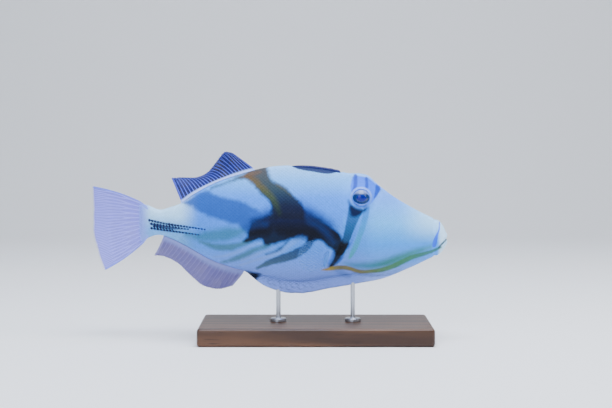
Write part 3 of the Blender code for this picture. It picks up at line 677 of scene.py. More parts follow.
skinPlan = {
    "sideCells": 96,
    # start, end and number of stations, closer together on the head and round the lips
    "stations": ((-73.4, -67.5, 14), (-67.5, 34.0, 170), (34.0, 66.0, 74), (66.0, 90.0, 46),
                 (90.0, 94.5, 16)),
    "lipStations": 36,
    "nostrils": ((59.3, 15.6), (61.2, 14.3)),
    "gill": ((39.9, -14.2), (34.2, -25.0)),
    "mouth": ((95.4, -13.4), (103.0, -6.55)),
    "pectoralRoot": (32.6, -19.5),
    "tailEnd": (-73.4, -71.5, 0.02),  # the skin closes behind the root of the tail
    # height over the skin, how far out it stands and how wide it is
    "nostrilRim": (0.22, 0.95, 0.35), "nostrilHole": (-0.55, 0.0, 0.55),
    "gillLip": (0.12, 1.6, 1.2), "gillSlit": (-0.8, 0.0, 0.4),
    "lipRoll": (0.42, 1.5, 0.95), "mouthSlit": (-0.85, 0.0, 0.32),
    "pectoralBoss": (0.5, 0.0, 4.4), "spineGroove": (-0.5, 0.0, 1.1),
    "eyeMound": (0.5, 5.0, 3.2),
    "eyeSocket": (2.4, 5.4, 4.2),  # depth, and the radius where it starts and is whole
    "grooveEnds": (10.5, 14.0, 39.5, 42.0),
    # folds of the pelvic flap: height, pace and slant, and the places and levels they reach
    "flapFold": (0.14, 2.2, 0.35),
    "foldPlaces": (-8.0, -2.0, 14.0, 30.0),
    "foldLevels": (-31.0, -36.0),
}


def raised(feature, away):
    height, out, reach = skinPlan[feature]
    return height * bell(away - out, reach)


def alongLine(x, z, start, end):
    # distance to a line, and how far along it from 0 to 1
    run = np.subtract(end, start)
    t = ((x - start[0]) * run[0] + (z - start[1]) * run[1]) / (run @ run)
    t = np.clip(t, 0, 1)
    return np.hypot(x - start[0] - t * run[0], z - start[1] - t * run[1]), t


def skinRelief(x, z):
    # how far the skin stands out of the plain body, in millimetres
    relief = np.zeros(np.broadcast(x, z).shape)
    for place in skinPlan["nostrils"]:
        away = np.hypot(x - place[0], z - place[1])
        relief += raised("nostrilRim", away) + raised("nostrilHole", away)
    away, t = alongLine(x, z, *skinPlan["gill"])
    relief += raised("gillLip", away) * (1 - t * 0.3) + raised("gillSlit", away)
    away, t = alongLine(x, z, *skinPlan["mouth"])
    relief += raised("lipRoll", away) * ease(94.6, 96.2, x) + raised("mouthSlit", away)
    root = skinPlan["pectoralRoot"]
    relief += raised("pectoralBoss", np.hypot((x - root[0]) * 1.4, z - root[1]))
    start, whole, fade, end = skinPlan["grooveEnds"]
    groove = ease(start, whole, x) * (1 - ease(fade, end, x))
    relief += groove * raised("spineGroove", backAt(x) - z)
    height, pace, slant = skinPlan["flapFold"]
    start, whole, fade, end = skinPlan["foldPlaces"]
    folds = np.sin((x * slant + z) * pace) * ease(*skinPlan["foldLevels"], z)
    return relief + height * (folds * ease(start, whole, x)) * (1 - ease(fade, end, x))


def skinStations():
    lipStart, tip = bodyShape["lipStart"], bodyShape["snoutTip"]
    turns = np.radians(np.linspace(0, 89, skinPlan["lipStations"]))
    runs = [np.linspace(start, end, count)[:-1] for start, end, count in skinPlan["stations"]]
    return np.concatenate([*runs, lipStart + (tip - lipStart) * np.sin(turns)])


def ringQuads(total, count, closed):
    # quads between rings of points, and from the last ring to the first in a closed loop
    faces = []
    for i in range(total if closed else total - 1):
        after = (i + 1) % total
        for j in range(count):
            k = (j + 1) % count
            faces.append((i * count + j, i * count + k, after * count + k, after * count + j))
    return faces


def closedTube(rings):
    # a tube with a fan at each end round an added middle point
    total, count = rings.shape[:2]
    points = rings.reshape(-1, 3)
    ends = [rings[0].mean(axis=0), rings[-1].mean(axis=0)]
    faces = ringQuads(total, count, False)
    tail, tip = total * count, total * count + 1
    for j in range(count):
        k = (j + 1) % count
        faces.append((tail, k, j))
        faces.append((tip, (total - 1) * count + j, (total - 1) * count + k))
    return np.concatenate([points, ends]), faces


def makeSkin(material):
    cells = skinPlan["sideCells"]
    turns = np.linspace(-math.pi / 2, math.pi / 2, cells + 1)
    levels = np.sin(turns)
    x = skinStations()[:, None]
    top, foot, widest = backAt(x), bellyAt(x), widestAt(x)
    z = widest + levels * np.where(levels > 0, top - widest, widest - foot)
    y = halfWidth(x, z)
    y[:, 0] = 0
    y[:, -1] = 0
    away = np.hypot(x - bodyShape["eyePlace"][0], z - bodyShape["eyePlace"][1])
    depth, start, whole = skinPlan["eyeSocket"]
    y = np.maximum(y + raised("eyeMound", away) - depth * ease(start, whole, away), 0)
    closed, full, least = skinPlan["tailEnd"]
    y = y * np.sqrt(least + (1 - least) * ease(closed, full, x))
    right = np.stack([x + 0 * z, -y, z], axis=-1)
    left = np.stack([x + 0 * z, y, z], axis=-1)[:, -2:0:-1]
    rings = np.concatenate([right, left], axis=1)
    along = np.gradient(rings, axis=0)
    around = (np.roll(rings, -1, axis=1) - np.roll(rings, 1, axis=1)) / 2
    normals = np.cross(around, along)
    normals /= np.maximum(np.linalg.norm(normals, axis=-1, keepdims=True), 1e-9)
    middle = rings.mean(axis=1, keepdims=True)
    outward = np.sign(np.sum((rings - middle) * normals, axis=(0, 1, 2)))
    relief = skinRelief(rings[..., 0], rings[..., 2])
    rings = rings + normals * outward * relief[..., None]
    points, faces = closedTube(rings)
    if outward < 0:
        faces = [tuple(reversed(face)) for face in faces]
    skin = meshPiece("skin", points, faces, material)
    skin.data.validate()
    keepMarkings(skin)
    finished(skin, "skin", "head", "torso", "tail_stalk")


# Eyes: a ball with a raised clear front, set in a ring of skin

eyeLooks = {
    "pupil": (3.0, 1.85),  # half length and half height
    "iris": (4.85, 3.5),
    "tilt": math.radians(-4),
    "cornea": (3.9, 0.3),  # radius, and how far it stands out of the ball
    "corneaTop": 0.55,  # share of that radius where it stands out in full
    "deepBlue": "#04107a",
    "darkRing": "#14305e",
    "irisBlue": "#163c90",
    "rim": "#6f98e8",
    # the pale lilac-grey on the upper eye is a painted reflection
    "upper": "#7888bc",
    "reflectionFrom": (0.34, 0.56, 0.85),  # heights where the painted reflection starts and is whole, share
    "fleckSize": 0.5,
    "fleckWaver": 0.16,
    # the ring field is 0 in the middle, and reaches these values at the edges and behind
    "pupilEdge": 0.75,
    "irisEdge": 1.45,
    "behind": 2.0,
    "stops": ((0.0, "deepBlue"), (0.36, "deepBlue"), (0.41, "irisBlue"), (0.47, "darkRing"),
              (0.7, "darkRing"), (0.78, "rim"), (1.0, "rim")),
}


def eyeMaterial():
    # a glass eye: a deep blue pupil under a clear, wet front, with a pale reflection painted over
    # its upper part
    material, tree = startMaterial("glass eye")
    ring, height = (
        addNode(tree, "ShaderNodeAttribute", attribute_name=field).outputs["Fac"]
        for field in ("ring", "height")
    )
    place = addNode(tree, "ShaderNodeTexCoord").outputs["Object"]
    flecks = addNode(
        tree, "ShaderNodeTexNoise",
        {"Vector": place, "Scale": 1 / (eyeLooks["fleckSize"] * mm), "Detail": 3.0},
    )
    wavy = addNode(
        tree, "ShaderNodeMath", {0: flecks, 1: eyeLooks["fleckWaver"], 2: ring},
        operation="MULTIPLY_ADD",
    )
    share = addNode(tree, "ShaderNodeMapRange", {0: wavy, 2: eyeLooks["behind"]})
    ramp = addNode(tree, "ShaderNodeValToRGB", {0: share})
    colour = setStops(ramp, [(at, eyeLooks[name]) for at, name in eyeLooks["stops"]])
    # painted reflection: the eye turns pale above the pupil
    start, whole, most = eyeLooks["reflectionFrom"]
    above = addNode(tree, "ShaderNodeMapRange", {0: height, 1: start, 2: whole, 4: most})
    outer = addNode(tree, "ShaderNodeMapRange", {0: ring, 1: 0.74, 2: 0.86})
    both = addNode(tree, "ShaderNodeMath", {0: above, 1: outer}, operation="MULTIPLY")
    withReflection = addNode(
        tree, "ShaderNodeMix", {"Factor": both, 6: colour, 7: eyeLooks["upper"]},
        data_type="RGBA",
    ).outputs[2]
    shader = addNode(
        tree, "ShaderNodeBsdfPrincipled",
        {"Base Color": withReflection, "Roughness": 0.16, "IOR": 1.45, "Specular IOR Level": 0.3,
         "Coat Weight": 0.08, "Coat Roughness": 0.08},
    )
    addNode(tree, "ShaderNodeOutputMaterial", {0: shader})
    return material


def makeEye(side, node, material):
    # turned round the axis that points straight out of the head
    x, z = bodyShape["eyePlace"]
    turns = np.linspace(0, 2 * math.pi, 73)[:-1]
    polar = np.linspace(0.02, math.pi - 0.02, 40)
    radius = eyeRadius * np.sin(polar)
    out = eyeRadius * np.cos(polar)
    (reach, lift), top = eyeLooks["cornea"], eyeLooks["corneaTop"]
    out = out + np.where(out > 0, lift * (1 - ease(reach * top, reach, radius)), 0)
    rings = np.stack([
        x + radius[:, None] * np.cos(turns),
        side * (eyeDepth + out[:, None]) + 0 * turns,
        z + radius[:, None] * np.sin(turns),
    ], axis=-1)
    points, faces = closedTube(rings)
    if side < 0:
        faces = [tuple(reversed(face)) for face in faces]
    ball = meshPiece("eyeballRight" if side < 0 else "eyeballLeft", points, faces, material)
    across = points[:, 0] - x
    above = points[:, 2] - z
    tilt = eyeLooks["tilt"]
    flatX = across * math.cos(tilt) + above * math.sin(tilt)
    flatZ = above * math.cos(tilt) - across * math.sin(tilt)
    pupil, iris = eyeLooks["pupil"], eyeLooks["iris"]
    edge = eyeLooks["pupilEdge"]
    inner = np.hypot(flatX / pupil[0], flatZ / pupil[1]) * edge
    outer = np.hypot(flatX / iris[0], flatZ / iris[1]) * eyeLooks["irisEdge"]
    ring = np.where(inner < edge, inner, np.maximum(edge, outer * 0.9 + inner * 0.1))
    ring = np.where(side * points[:, 1] < eyeDepth, eyeLooks["behind"], ring)
    keepField(ball.data, "ring", ring)
    keepField(ball.data, "height", above / eyeRadius)
    finished(ball, "eye", node)


eyeRimShape = {
    # radius from the eye's middle, and height over the head's side
    "profile": ((4.2, -0.6), (4.55, 0.3), (4.8, 0.66), (5.2, 0.86), (5.7, 0.8), (6.3, 0.5),
                (7.1, 0.22), (8.0, 0.02), (8.8, -0.35), (6.6, -2.4), (4.6, -2.4)),
    "spokes": 72,
    "level": 1.8,  # how far the rim's own level is out of the eye's middle
    "levelTo": (5.0, 7.0),  # radii over which it comes down to the head's side
    "crease": (0.05, 18),  # depth, and how many round the rim
}


def makeEyeRim(side, material):
    x, z = bodyShape["eyePlace"]
    turns = np.linspace(0, 2 * math.pi, eyeRimShape["spokes"] + 1)[:-1]
    profile = smoothPath(eyeRimShape["profile"], True, 2)[:-1]
    rings = []
    for radius, height in profile:
        ringX = x + radius * np.cos(turns)
        ringZ = z + radius * np.sin(turns)
        flank = halfWidth(ringX, np.minimum(ringZ, backAt(ringX) - 0.4))
        level = eyeDepth + eyeRimShape["level"]
        share = ease(*eyeRimShape["levelTo"], radius)
        deep, number = eyeRimShape["crease"]
        crease = deep * np.sin(turns * number) * bell(radius - 5.6, 0.9)
        out = level + (flank + raised("eyeMound", radius) - level) * share + height + crease
        rings.append(np.stack([ringX, side * out, ringZ], axis=-1))
    rings = np.array(rings)
    faces = ringQuads(len(rings), len(turns), True)
    if side > 0:
        faces = [tuple(reversed(face)) for face in faces]
    name = "eyeRimRight" if side < 0 else "eyeRimLeft"
    rim = meshPiece(name, rings.reshape(-1, 3), faces, material)
    keepMarkings(rim)
    finished(rim, "skin")


# What repeats on the skin is set there by one tree: a piece at each point, turned to the skin

def setOnSkinTree():
    tree = bpy.data.node_groups.new("setOnSkin", "GeometryNodeTree")
    kinds = {
        "Geometry": "NodeSocketGeometry", "Piece": "NodeSocketObject",
        "Length": "NodeSocketFloat", "Height": "NodeSocketFloat", "Relief": "NodeSocketFloat",
        "Finish": "NodeSocketMaterial",
    }
    for name, kind in kinds.items():
        tree.interface.new_socket(name, in_out="INPUT", socket_type=kind)
    tree.interface.new_socket("Geometry", in_out="OUTPUT", socket_type="NodeSocketGeometry")
    given = addNode(tree, "NodeGroupInput").outputs
    outward = addNode(
        tree, "GeometryNodeInputNamedAttribute", {"Name": "outward"}, data_type="FLOAT_VECTOR"
    )
    share = addNode(tree, "GeometryNodeInputNamedAttribute", {"Name": "share"}, data_type="FLOAT")
    info = addNode(tree, "GeometryNodeObjectInfo", {"Object": given["Piece"]})
    upright = addNode(tree, "FunctionNodeAlignRotationToVector", {"Vector": outward}, axis="Z")
    turned = addNode(
        tree, "FunctionNodeAlignRotationToVector",
        {"Rotation": upright, "Vector": (-1.0, 0.0, 0.0)}, axis="X", pivot_axis="Z",
    )
    size = addNode(
        tree, "ShaderNodeCombineXYZ",
        {"X": given["Length"], "Y": given["Height"], "Z": given["Relief"]},
    )
    scaled = addNode(tree, "ShaderNodeVectorMath", {0: size, "Scale": share}, operation="SCALE")
    placed = addNode(
        tree, "GeometryNodeInstanceOnPoints",
        {"Points": given["Geometry"], "Instance": info.outputs["Geometry"],
         "Rotation": turned, "Scale": scaled},
    )
    whole = addNode(tree, "GeometryNodeRealizeInstances", {0: placed})
    done = addNode(
        tree, "GeometryNodeSetMaterial", {"Geometry": whole, "Material": given["Finish"]}
    )
    addNode(tree, "NodeGroupOutput", {"Geometry": done})
    return tree


def setOnSkin(name, tree, points, outward, share, inputs, material):
    # runs the tree on loose points and keeps what comes out as a plain mesh
    mesh = bpy.data.meshes.new(name)
    mesh.from_pydata(inRow(points).tolist(), [], [])
    field = mesh.attributes.new("outward", "FLOAT_VECTOR", "POINT")
    field.data.foreach_set("vector", np.asarray(outward, np.float32).ravel())
    keepField(mesh, "share", share)
    holder = addObject(name + "Points", mesh)
    modifier = holder.modifiers.new("setOnSkin", "NODES")
    modifier.node_group = tree
    sockets = {item.name: item.identifier for item in tree.interface.items_tree
               if item.in_out == "INPUT"}
    for socket, value in {**inputs, "Finish": material}.items():
        modifier[sockets[socket]] = value
    bpy.context.view_layer.update()
    graph = bpy.context.evaluated_depsgraph_get()
    done = bpy.data.meshes.new_from_object(holder.evaluated_get(graph))
    bpy.data.objects.remove(holder)
    for spare in ("outward", "share"):
        if spare in done.attributes:
            done.attributes.remove(done.attributes[spare])
    piece = addObject(name, done)
    done.shade_smooth()
    return piece


scalePlan = {
    # place along the body and length of a scale there: smaller on the face and the tail stalk
    "lengths": ((-74.0, 1.5), (-55.0, 1.7), (-30.0, 2.1), (0.0, 2.3), (30.0, 2.2), (50.0, 1.9),
                (75.0, 1.7), (94.0, 1.4)),
    "heightShare": 0.86,
    "gap": 0.95,  # how much of its cell a scale fills
    "corners": 8,
    "squareness": 0.88,  # 1 is a plain diamond
    "relief": 0.4,  # all the heights below are in these
    "sink": 0.06,
    "shoulder": 0.035,
    "crown": 0.075,
    "shoulderShare": 0.8,
    "rim": (1.0, 0.35, 0.0),  # how deep the painted shade at the outline is at the foot, shoulder and crown
    "edgeMargin": 2.2,
    "range": (-72.0, 92.0),
    # how far the middle of a scale stays from these
    "clearOf": {"eye": 7.6, "nostril": 1.7, "gill": 1.5, "finRoot": 5.0},
}


def scalePlate():
    # one rounded diamond plate, half a unit long each way, with its foot under the skin
    count = scalePlan["corners"]
    turns = np.arange(count) * 2 * math.pi / count
    reach = 0.5 / (np.abs(np.cos(turns)) + np.abs(np.sin(turns))) ** scalePlan["squareness"]
    outline = np.stack([reach * np.cos(turns), reach * np.sin(turns)], axis=-1)
    foot = np.column_stack([outline, np.full(count, -scalePlan["sink"])])
    inner = outline * scalePlan["shoulderShare"]
    shoulder = np.column_stack([inner, np.full(count, scalePlan["shoulder"])])
    crown = [(0, 0, scalePlan["crown"])]
    points = np.concatenate([foot, shoulder, crown])
    faces = [tuple(reversed(range(count)))]
    for i in range(count):
        j = (i + 1) % count
        faces.append((i, j, count + j, count + i))
        faces.append((count + i, count + j, 2 * count))
    mesh = bpy.data.meshes.new("scalePlate")
    mesh.from_pydata(points.tolist(), [], faces)
    return bpy.data.objects.new("scalePlate", mesh), outline


def scaleCentres():
    # staggered places along and round one side, as (x, distance round from the widest level)
    lengthAt = curveThrough(scalePlan["lengths"])
    x, odd = scalePlan["range"][0], False
    found = []
    while x < scalePlan["range"][1]:
        length = float(lengthAt(x))
        z = np.linspace(float(bellyAt(x)) + 0.02, float(backAt(x)) - 0.02, 400)
        y = halfWidth(x, z)
        girth = np.concatenate([[0], np.cumsum(np.hypot(np.diff(z), np.diff(y)))])
        middle = np.interp(float(widestAt(x)), z, girth)
        pitch = length * scalePlan["heightShare"]
        margin = scalePlan["edgeMargin"]
        lowest = math.ceil((margin - middle) / pitch)
        highest = math.floor((girth[-1] - margin - middle) / pitch)
        for row in range(lowest, highest + 1):
            at = middle + (row + (0.5 if odd else 0)) * pitch
            if margin < at < girth[-1] - margin:
                found.append((x, float(np.interp(at, girth, z)), length, at))
        x += length / 2
        odd = not odd
    return np.array(found)


def clearOfFeatures(x, z):
    # the eyes, the nostrils, the gill slits and the roots of the side fins carry no scales
    least = scalePlan["clearOf"]
    clear = np.hypot(x - bodyShape["eyePlace"][0], z - bodyShape["eyePlace"][1]) > least["eye"]
    for place in skinPlan["nostrils"]:
        clear &= np.hypot(x - place[0], z - place[1]) > least["nostril"]
    clear &= alongLine(x, z, *skinPlan["gill"])[0] > least["gill"]
    root = skinPlan["pectoralRoot"]
    return clear & (np.hypot((x - root[0]) * 1.5, z - root[1]) > least["finRoot"])


def makeScales(tree, material):
    plate, outline = scalePlate()
    centres = scaleCentres()
    centres = centres[clearOfFeatures(centres[:, 0], centres[:, 1])]
    x, z, length, girth = centres.T
    rng = np.random.default_rng(7)
    share = length * scalePlan["gap"] * rng.uniform(0.95, 1.03, len(x))
    reach = length / 2
    hollow = (halfWidth(x, z + reach) + halfWidth(x, z - reach)) / 2 - halfWidth(x, z)
    relief = skinRelief(x, z) + np.maximum(hollow, 0)
    corners = len(outline) * 2 + 1
    rim = np.repeat(scalePlan["rim"], (len(outline), len(outline), 1))
    for side, name in ((-1, "scalesRight"), (1, "scalesLeft")):
        outward = sideNormals(x, z, side)
        points = sidePoints(x, z, side) + outward * relief[:, None]
        piece = setOnSkin(
            name, tree, points, outward, share,
            {"Piece": plate, "Length": mm, "Height": scalePlan["heightShare"] * mm,
             "Relief": scalePlan["relief"] * mm},
            material,
        )
        keepMarkings(piece)
        keepField(piece.data, "rim", np.tile(rim, len(x)))
        layOutScales(piece.data, x, girth, side, corners)
        finished(piece, "skin")
        print(name, len(x), "scales,", len(piece.data.polygons), "faces")
    bpy.data.objects.remove(plate)


def layOutScales(mesh, x, girth, side, corners):
    # each scale is a small patch at its root's place on the unrolled side of the fish
    patch = 0.003
    width = 200.0
    rootU = 0.5 * (side > 0) + 0.48 * (x + 100) / width + 0.01
    rootV = 0.02 + 0.94 * girth / max(girth.max(), 1.0)
    count = len(mesh.vertices)
    flat = np.empty(count * 3, np.float32)
    mesh.vertices.foreach_get("co", flat)
    flat = flat.reshape(-1, corners, 3)
    local = flat - flat.mean(axis=1, keepdims=True)
    spread = np.maximum(np.abs(local).max(axis=(1, 2), keepdims=True), 1e-9)
    local = local / spread * patch / 2
    u = (rootU[:, None] + local[..., 0]).ravel()
    v = (rootV[:, None] + local[..., 2]).ravel()
    loops = np.empty(len(mesh.loops), np.int32)
    mesh.loops.foreach_get("vertex_index", loops)
    layer = mesh.uv_layers.new(name="OFBake")
    corner = np.stack([u[loops], v[loops]], axis=-1)
    layer.data.foreach_set("uv", corner.astype(np.float32).ravel())


stalkSpines = {
    # first and last place, and how many
    "rows": (
        ((-67.6, 1.0), (-57.6, -0.9), 7), ((-56.2, -1.1), (-36.0, -3.8), 13),
        ((-66.4, -1.0), (-45.5, -3.8), 13), ((-64.8, -2.4), (-54.4, -4.1), 7),
        ((-66.4, -3.5), (-39.5, -6.9), 16),
    ),
    "length": 1.5,
    "radius": 0.92,
    # the thorn in its own units: sides and levels, height, depth under the skin, and hook
    "corners": (10, 6), "tall": 1.6, "sunk": 0.4, "hook": 0.9,
    "colour": "#060922",
    "tip": "#1c2460",
    "grainSize": 0.8,
}


def spineThorn():
    # a forward-hooked thorn with its foot under the skin
    sides, levels = stalkSpines["corners"]
    turns = np.arange(sides) * 2 * math.pi / sides
    rings = []
    for level in np.linspace(0, 1, levels):
        radius = (1 - level) ** 0.8 + 0.05
        height = level * stalkSpines["tall"] - stalkSpines["sunk"]
        rings.append(np.stack([
            radius * np.cos(turns) - stalkSpines["hook"] * level**2, radius * np.sin(turns),
            0 * turns + height,
        ], axis=-1))
    points, faces = closedTube(np.array(rings))
    mesh = bpy.data.meshes.new("thorn")
    mesh.from_pydata(points.tolist(), [], faces)
    return bpy.data.objects.new("thorn", mesh)


def hornMaterial(name, code, tipCode):
    # dark horn: satin, with a slightly paler worn tone
    material, tree = startMaterial(name)
    place = addNode(tree, "ShaderNodeTexCoord").outputs["Object"]
    grain = addNode(
        tree, "ShaderNodeTexNoise",
        {"Vector": place, "Scale": 1 / (stalkSpines["grainSize"] * mm), "Detail": 4.0},
    )
    ramp = addNode(tree, "ShaderNodeValToRGB", {0: grain})
    colour = setStops(ramp, [(0.3, code), (0.75, tipCode)])
    bump = addNode(tree, "ShaderNodeBump", {"Strength": 0.3, "Distance": 0.1 * mm, "Height": grain})
    shader = addNode(
        tree, "ShaderNodeBsdfPrincipled",
        {"Base Color": colour, "Roughness": 0.42, "Normal": bump, "IOR": 1.5,
         "Specular IOR Level": 0.3},
    )
    addNode(tree, "ShaderNodeOutputMaterial", {0: shader})
    return material


def makeStalkSpines(tree, material):
    thorn = spineThorn()
    points, outward, share = [], [], []
    for start, end, count in stalkSpines["rows"]:
        steps = np.linspace(0, 1, count)
        x = start[0] + (end[0] - start[0]) * steps
        z = start[1] + (end[1] - start[1]) * steps
        for side in (-1, 1):
            points.append(sidePoints(x, z, side))
            outward.append(sideNormals(x, z, side))
            share.append(1 - 0.35 * steps)
    piece = setOnSkin(
        "stalkSpines", tree, np.concatenate(points), np.concatenate(outward),
        np.concatenate(share),
        {"Piece": thorn, "Length": stalkSpines["radius"] * mm,
         "Height": stalkSpines["radius"] * mm,
         "Relief": stalkSpines["length"] / stalkSpines["tall"] * mm},
        material,
    )
    finished(piece, "dark_spines")
    bpy.data.objects.remove(thorn)
    print("stalk spines", sum(map(len, share)))


foldedSpines = {
    # start, end, how far to the left, radius at the start
    "spines": ((40.2, 12.0, 0.0, 1.1), (34.5, 17.0, 0.75, 0.75), (28.5, 18.0, -0.7, 0.6)),
    "sides": 14,
    "lift": -0.55,
    "taper": 0.72,
    "knobs": (0.07, 7.0),  # height and pace of those on the front of the first spine
    "sheath": (38.5, 11.8, 1.15),  # the folded web round them: start, end, half width
    "sheathLift": -0.62,
    "sheathHeight": 0.8,
    "pleats": (0.1, 7),
    "colour": "#060a42",
    "pale": "#121e72",
}


def makeFoldedSpines(material):
    # the first dorsal fin lies folded in its groove: three spines in a thin dark web
    turns = np.arange(foldedSpines["sides"]) * 2 * math.pi / foldedSpines["sides"]
    steps = np.linspace(0, 1, 40)
    tubes = []
    for index, (start, end, aside, size) in enumerate(foldedSpines["spines"]):
        x = start + (end - start) * steps
        radius = size * (1 - foldedSpines["taper"] * steps**1.5)
        radius = radius * np.sqrt(np.clip(1 - ((steps - 0.5) * 2) ** 30, 0.02, 1))
        height, pace = foldedSpines["knobs"]
        radius = radius * (1 + height * np.sin(x * pace) * (index == 0))
        middle = backAt(x) + foldedSpines["lift"]
        tubes.append(np.stack([
            x[:, None] + 0 * turns,
            aside * (1 - 0.5 * steps[:, None]) + radius[:, None] * np.cos(turns),
            middle[:, None] + radius[:, None] * np.sin(turns),
        ], axis=-1))
    start, end, size = foldedSpines["sheath"]
    steps = np.linspace(0.004, 0.996, 60)
    x = start + (end - start) * steps
    plump = np.sqrt(4 * steps * (1 - steps)) * size
    deep, number = foldedSpines["pleats"]
    pleat = 1 + deep * np.cos(turns * number)
    middle = backAt(x) + foldedSpines["sheathLift"]
    upward = plump[:, None] * foldedSpines["sheathHeight"]
    tubes.append(np.stack([
        x[:, None] + 0 * turns,
        plump[:, None] * pleat * np.cos(turns),
        middle[:, None] + upward * pleat * np.sin(turns),
    ], axis=-1))
    allPoints, allFaces, offset = [], [], 0
    for rings in tubes:
        points, faces = closedTube(rings)
        allPoints.append(points)
        allFaces += [tuple(i + offset for i in face) for face in faces]
        offset += len(points)
    piece = meshPiece("foldedDorsalSpines", np.concatenate(allPoints), allFaces, material)
    finished(piece, "dark_spines", "dorsal_spines")


# Fins: a thin web with branching rays raised on both faces

finPlan = {
    "web": 0.2,
    "ray": (0.5, 0.28),  # thickness of a ray at its root and at the margin
    "rayWidth": 0.14,  # half width as a share of the space between rays
    "rayTaper": 0.55,  # how much narrower a ray is at the margin
    "notch": 0.03,
    "cellsPerRay": 22,
    "rows": 26,
    "lengthSpread": 0.012,  # how much the rays differ in length
    "cloudSize": 5.0,
    "arch": 0.12,  # how much the edge fins bulge outwards, as a share of their lean
    "lift": 0.3,
    "root": -0.5,  # the render's fins start a little inside the skin
}


def rayFields(u, v, rays, forks):
    # 1 on a ray and 0 on the web, with each ray forked towards the margin
    phase = (u * rays) % 1.0 - 0.5
    line = np.abs(phase) + 0 * v
    for start, end, apart in forks:
        line = np.abs(line - apart * ease(start, end, v))
    width = finPlan["rayWidth"] * (1 - finPlan["rayTaper"] * ease(0.25, 0.85, v))
    return np.exp(-((line / width) ** 2))


def finPiece(name, middle, plan, material, replaced):
    rays, forks = plan["rays"], plan["forks"]
    footHeight, footThickness = plan["foot"]
    columns, rows = rays * finPlan["cellsPerRay"], finPlan["rows"]
    u = np.linspace(0, 1, columns + 1)[:, None]
    v = np.linspace(0, 1, rows + 1)[None, :]
    ray = rayFields(u, v, rays, forks)
    margin = 1 - finPlan["notch"] * (1 - rayFields(u, np.ones_like(v), rays, forks)) * v**4
    rng = np.random.default_rng(len(name))
    uneven = np.interp(u * rays, np.arange(rays + 1), rng.normal(0, 1, rays + 1))
    lengths = 1 + finPlan["lengthSpread"] * uneven
    points = middle(u + 0 * v, v * margin * np.minimum(lengths, 1.0))
    along = np.gradient(points, axis=0)
    out = np.gradient(points, axis=1)
    normals = np.cross(along, out)
    normals /= np.linalg.norm(normals, axis=-1, keepdims=True)
    rayThickness = finPlan["ray"][0] + (finPlan["ray"][1] - finPlan["ray"][0]) * v
    thickness = finPlan["web"] + (rayThickness - finPlan["web"]) * ray
    foot = 1 - ease(0, footHeight, v)
    ends = np.clip(8 * np.minimum(u, 1 - u) + 0.35, 0, 1)
    thickness = thickness + (footThickness - thickness) * foot * ends
    front = points + normals * thickness[..., None] / 2
    rear = points - normals * thickness[..., None] / 2
    count = (columns + 1) * (rows + 1)
    index = np.arange(count).reshape(columns + 1, rows + 1)
    a, b, c, d = index[:-1, :-1], index[1:, :-1], index[1:, 1:], index[:-1, 1:]
    quads = np.stack([a, b, c, d], axis=-1).reshape(-1, 4)
    rim = np.concatenate([index[:, 0], index[-1, 1:], index[-2::-1, -1], index[0, -2:0:-1]])
    nextRim = np.roll(rim, -1)
    faces = quads.tolist() + (quads[:, ::-1] + count).tolist()
    faces += np.stack([nextRim, rim, rim + count, nextRim + count], axis=-1).tolist()
    both = np.concatenate([front.reshape(-1, 3), rear.reshape(-1, 3)])
    fin = meshPiece(name, both, faces, material)
    for field, values in (("ray", ray), ("reach", v + 0 * u), ("span", u + 0 * v)):
        keepField(fin.data, field, np.concatenate([values.ravel(), values.ravel()]))
    finished(fin, "fin", replaced)


finLooks = {
    "dorsal fin web": {
        "web": ("#0c1450", "#161e64"), "rayColour": "#5064dc", "foot": "#a8c0ff",
        "frontOpacity": 0.84, "rearOpacity": 0.85, "rayOpacity": 0.92, "footReach": (0.05, 0.12),
        "clearTo": (0.38, 0.62), "edge": "#4f5ad0",
    },
    "anal fin web": {
        "web": ("#655c9e", "#605c9c"), "rayColour": "#7870ae", "foot": "#7c86c4",
        "frontOpacity": 0.82, "rearOpacity": 0.74, "rayOpacity": 0.9, "footReach": (0.06, 0.3),
        "clearTo": (0.4, 0.8), "edge": "#9a98cc",
    },
    "tail fin web": {
        "web": ("#7474ee", "#7c7cf0"), "rayColour": "#9a9cf8", "foot": "#8298f0",
        "frontOpacity": 0.66, "rearOpacity": 0.6, "rayOpacity": 0.9, "footReach": (0.06, 0.26),
        "clearTo": (0.3, 0.7), "edge": "#5973ef",
    },
    "pectoral fin web": {
        "web": ("#5ca0f4", "#5ca0f4"), "rayColour": "#5c9cf0", "foot": "#4c8ee8",
        "frontOpacity": 0.06, "rearOpacity": 0.06, "rayOpacity": 0.17, "footReach": (0.02, 0.2),
        "clearTo": (0.4, 0.6), "edge": "#a9ccf6",
    },
}


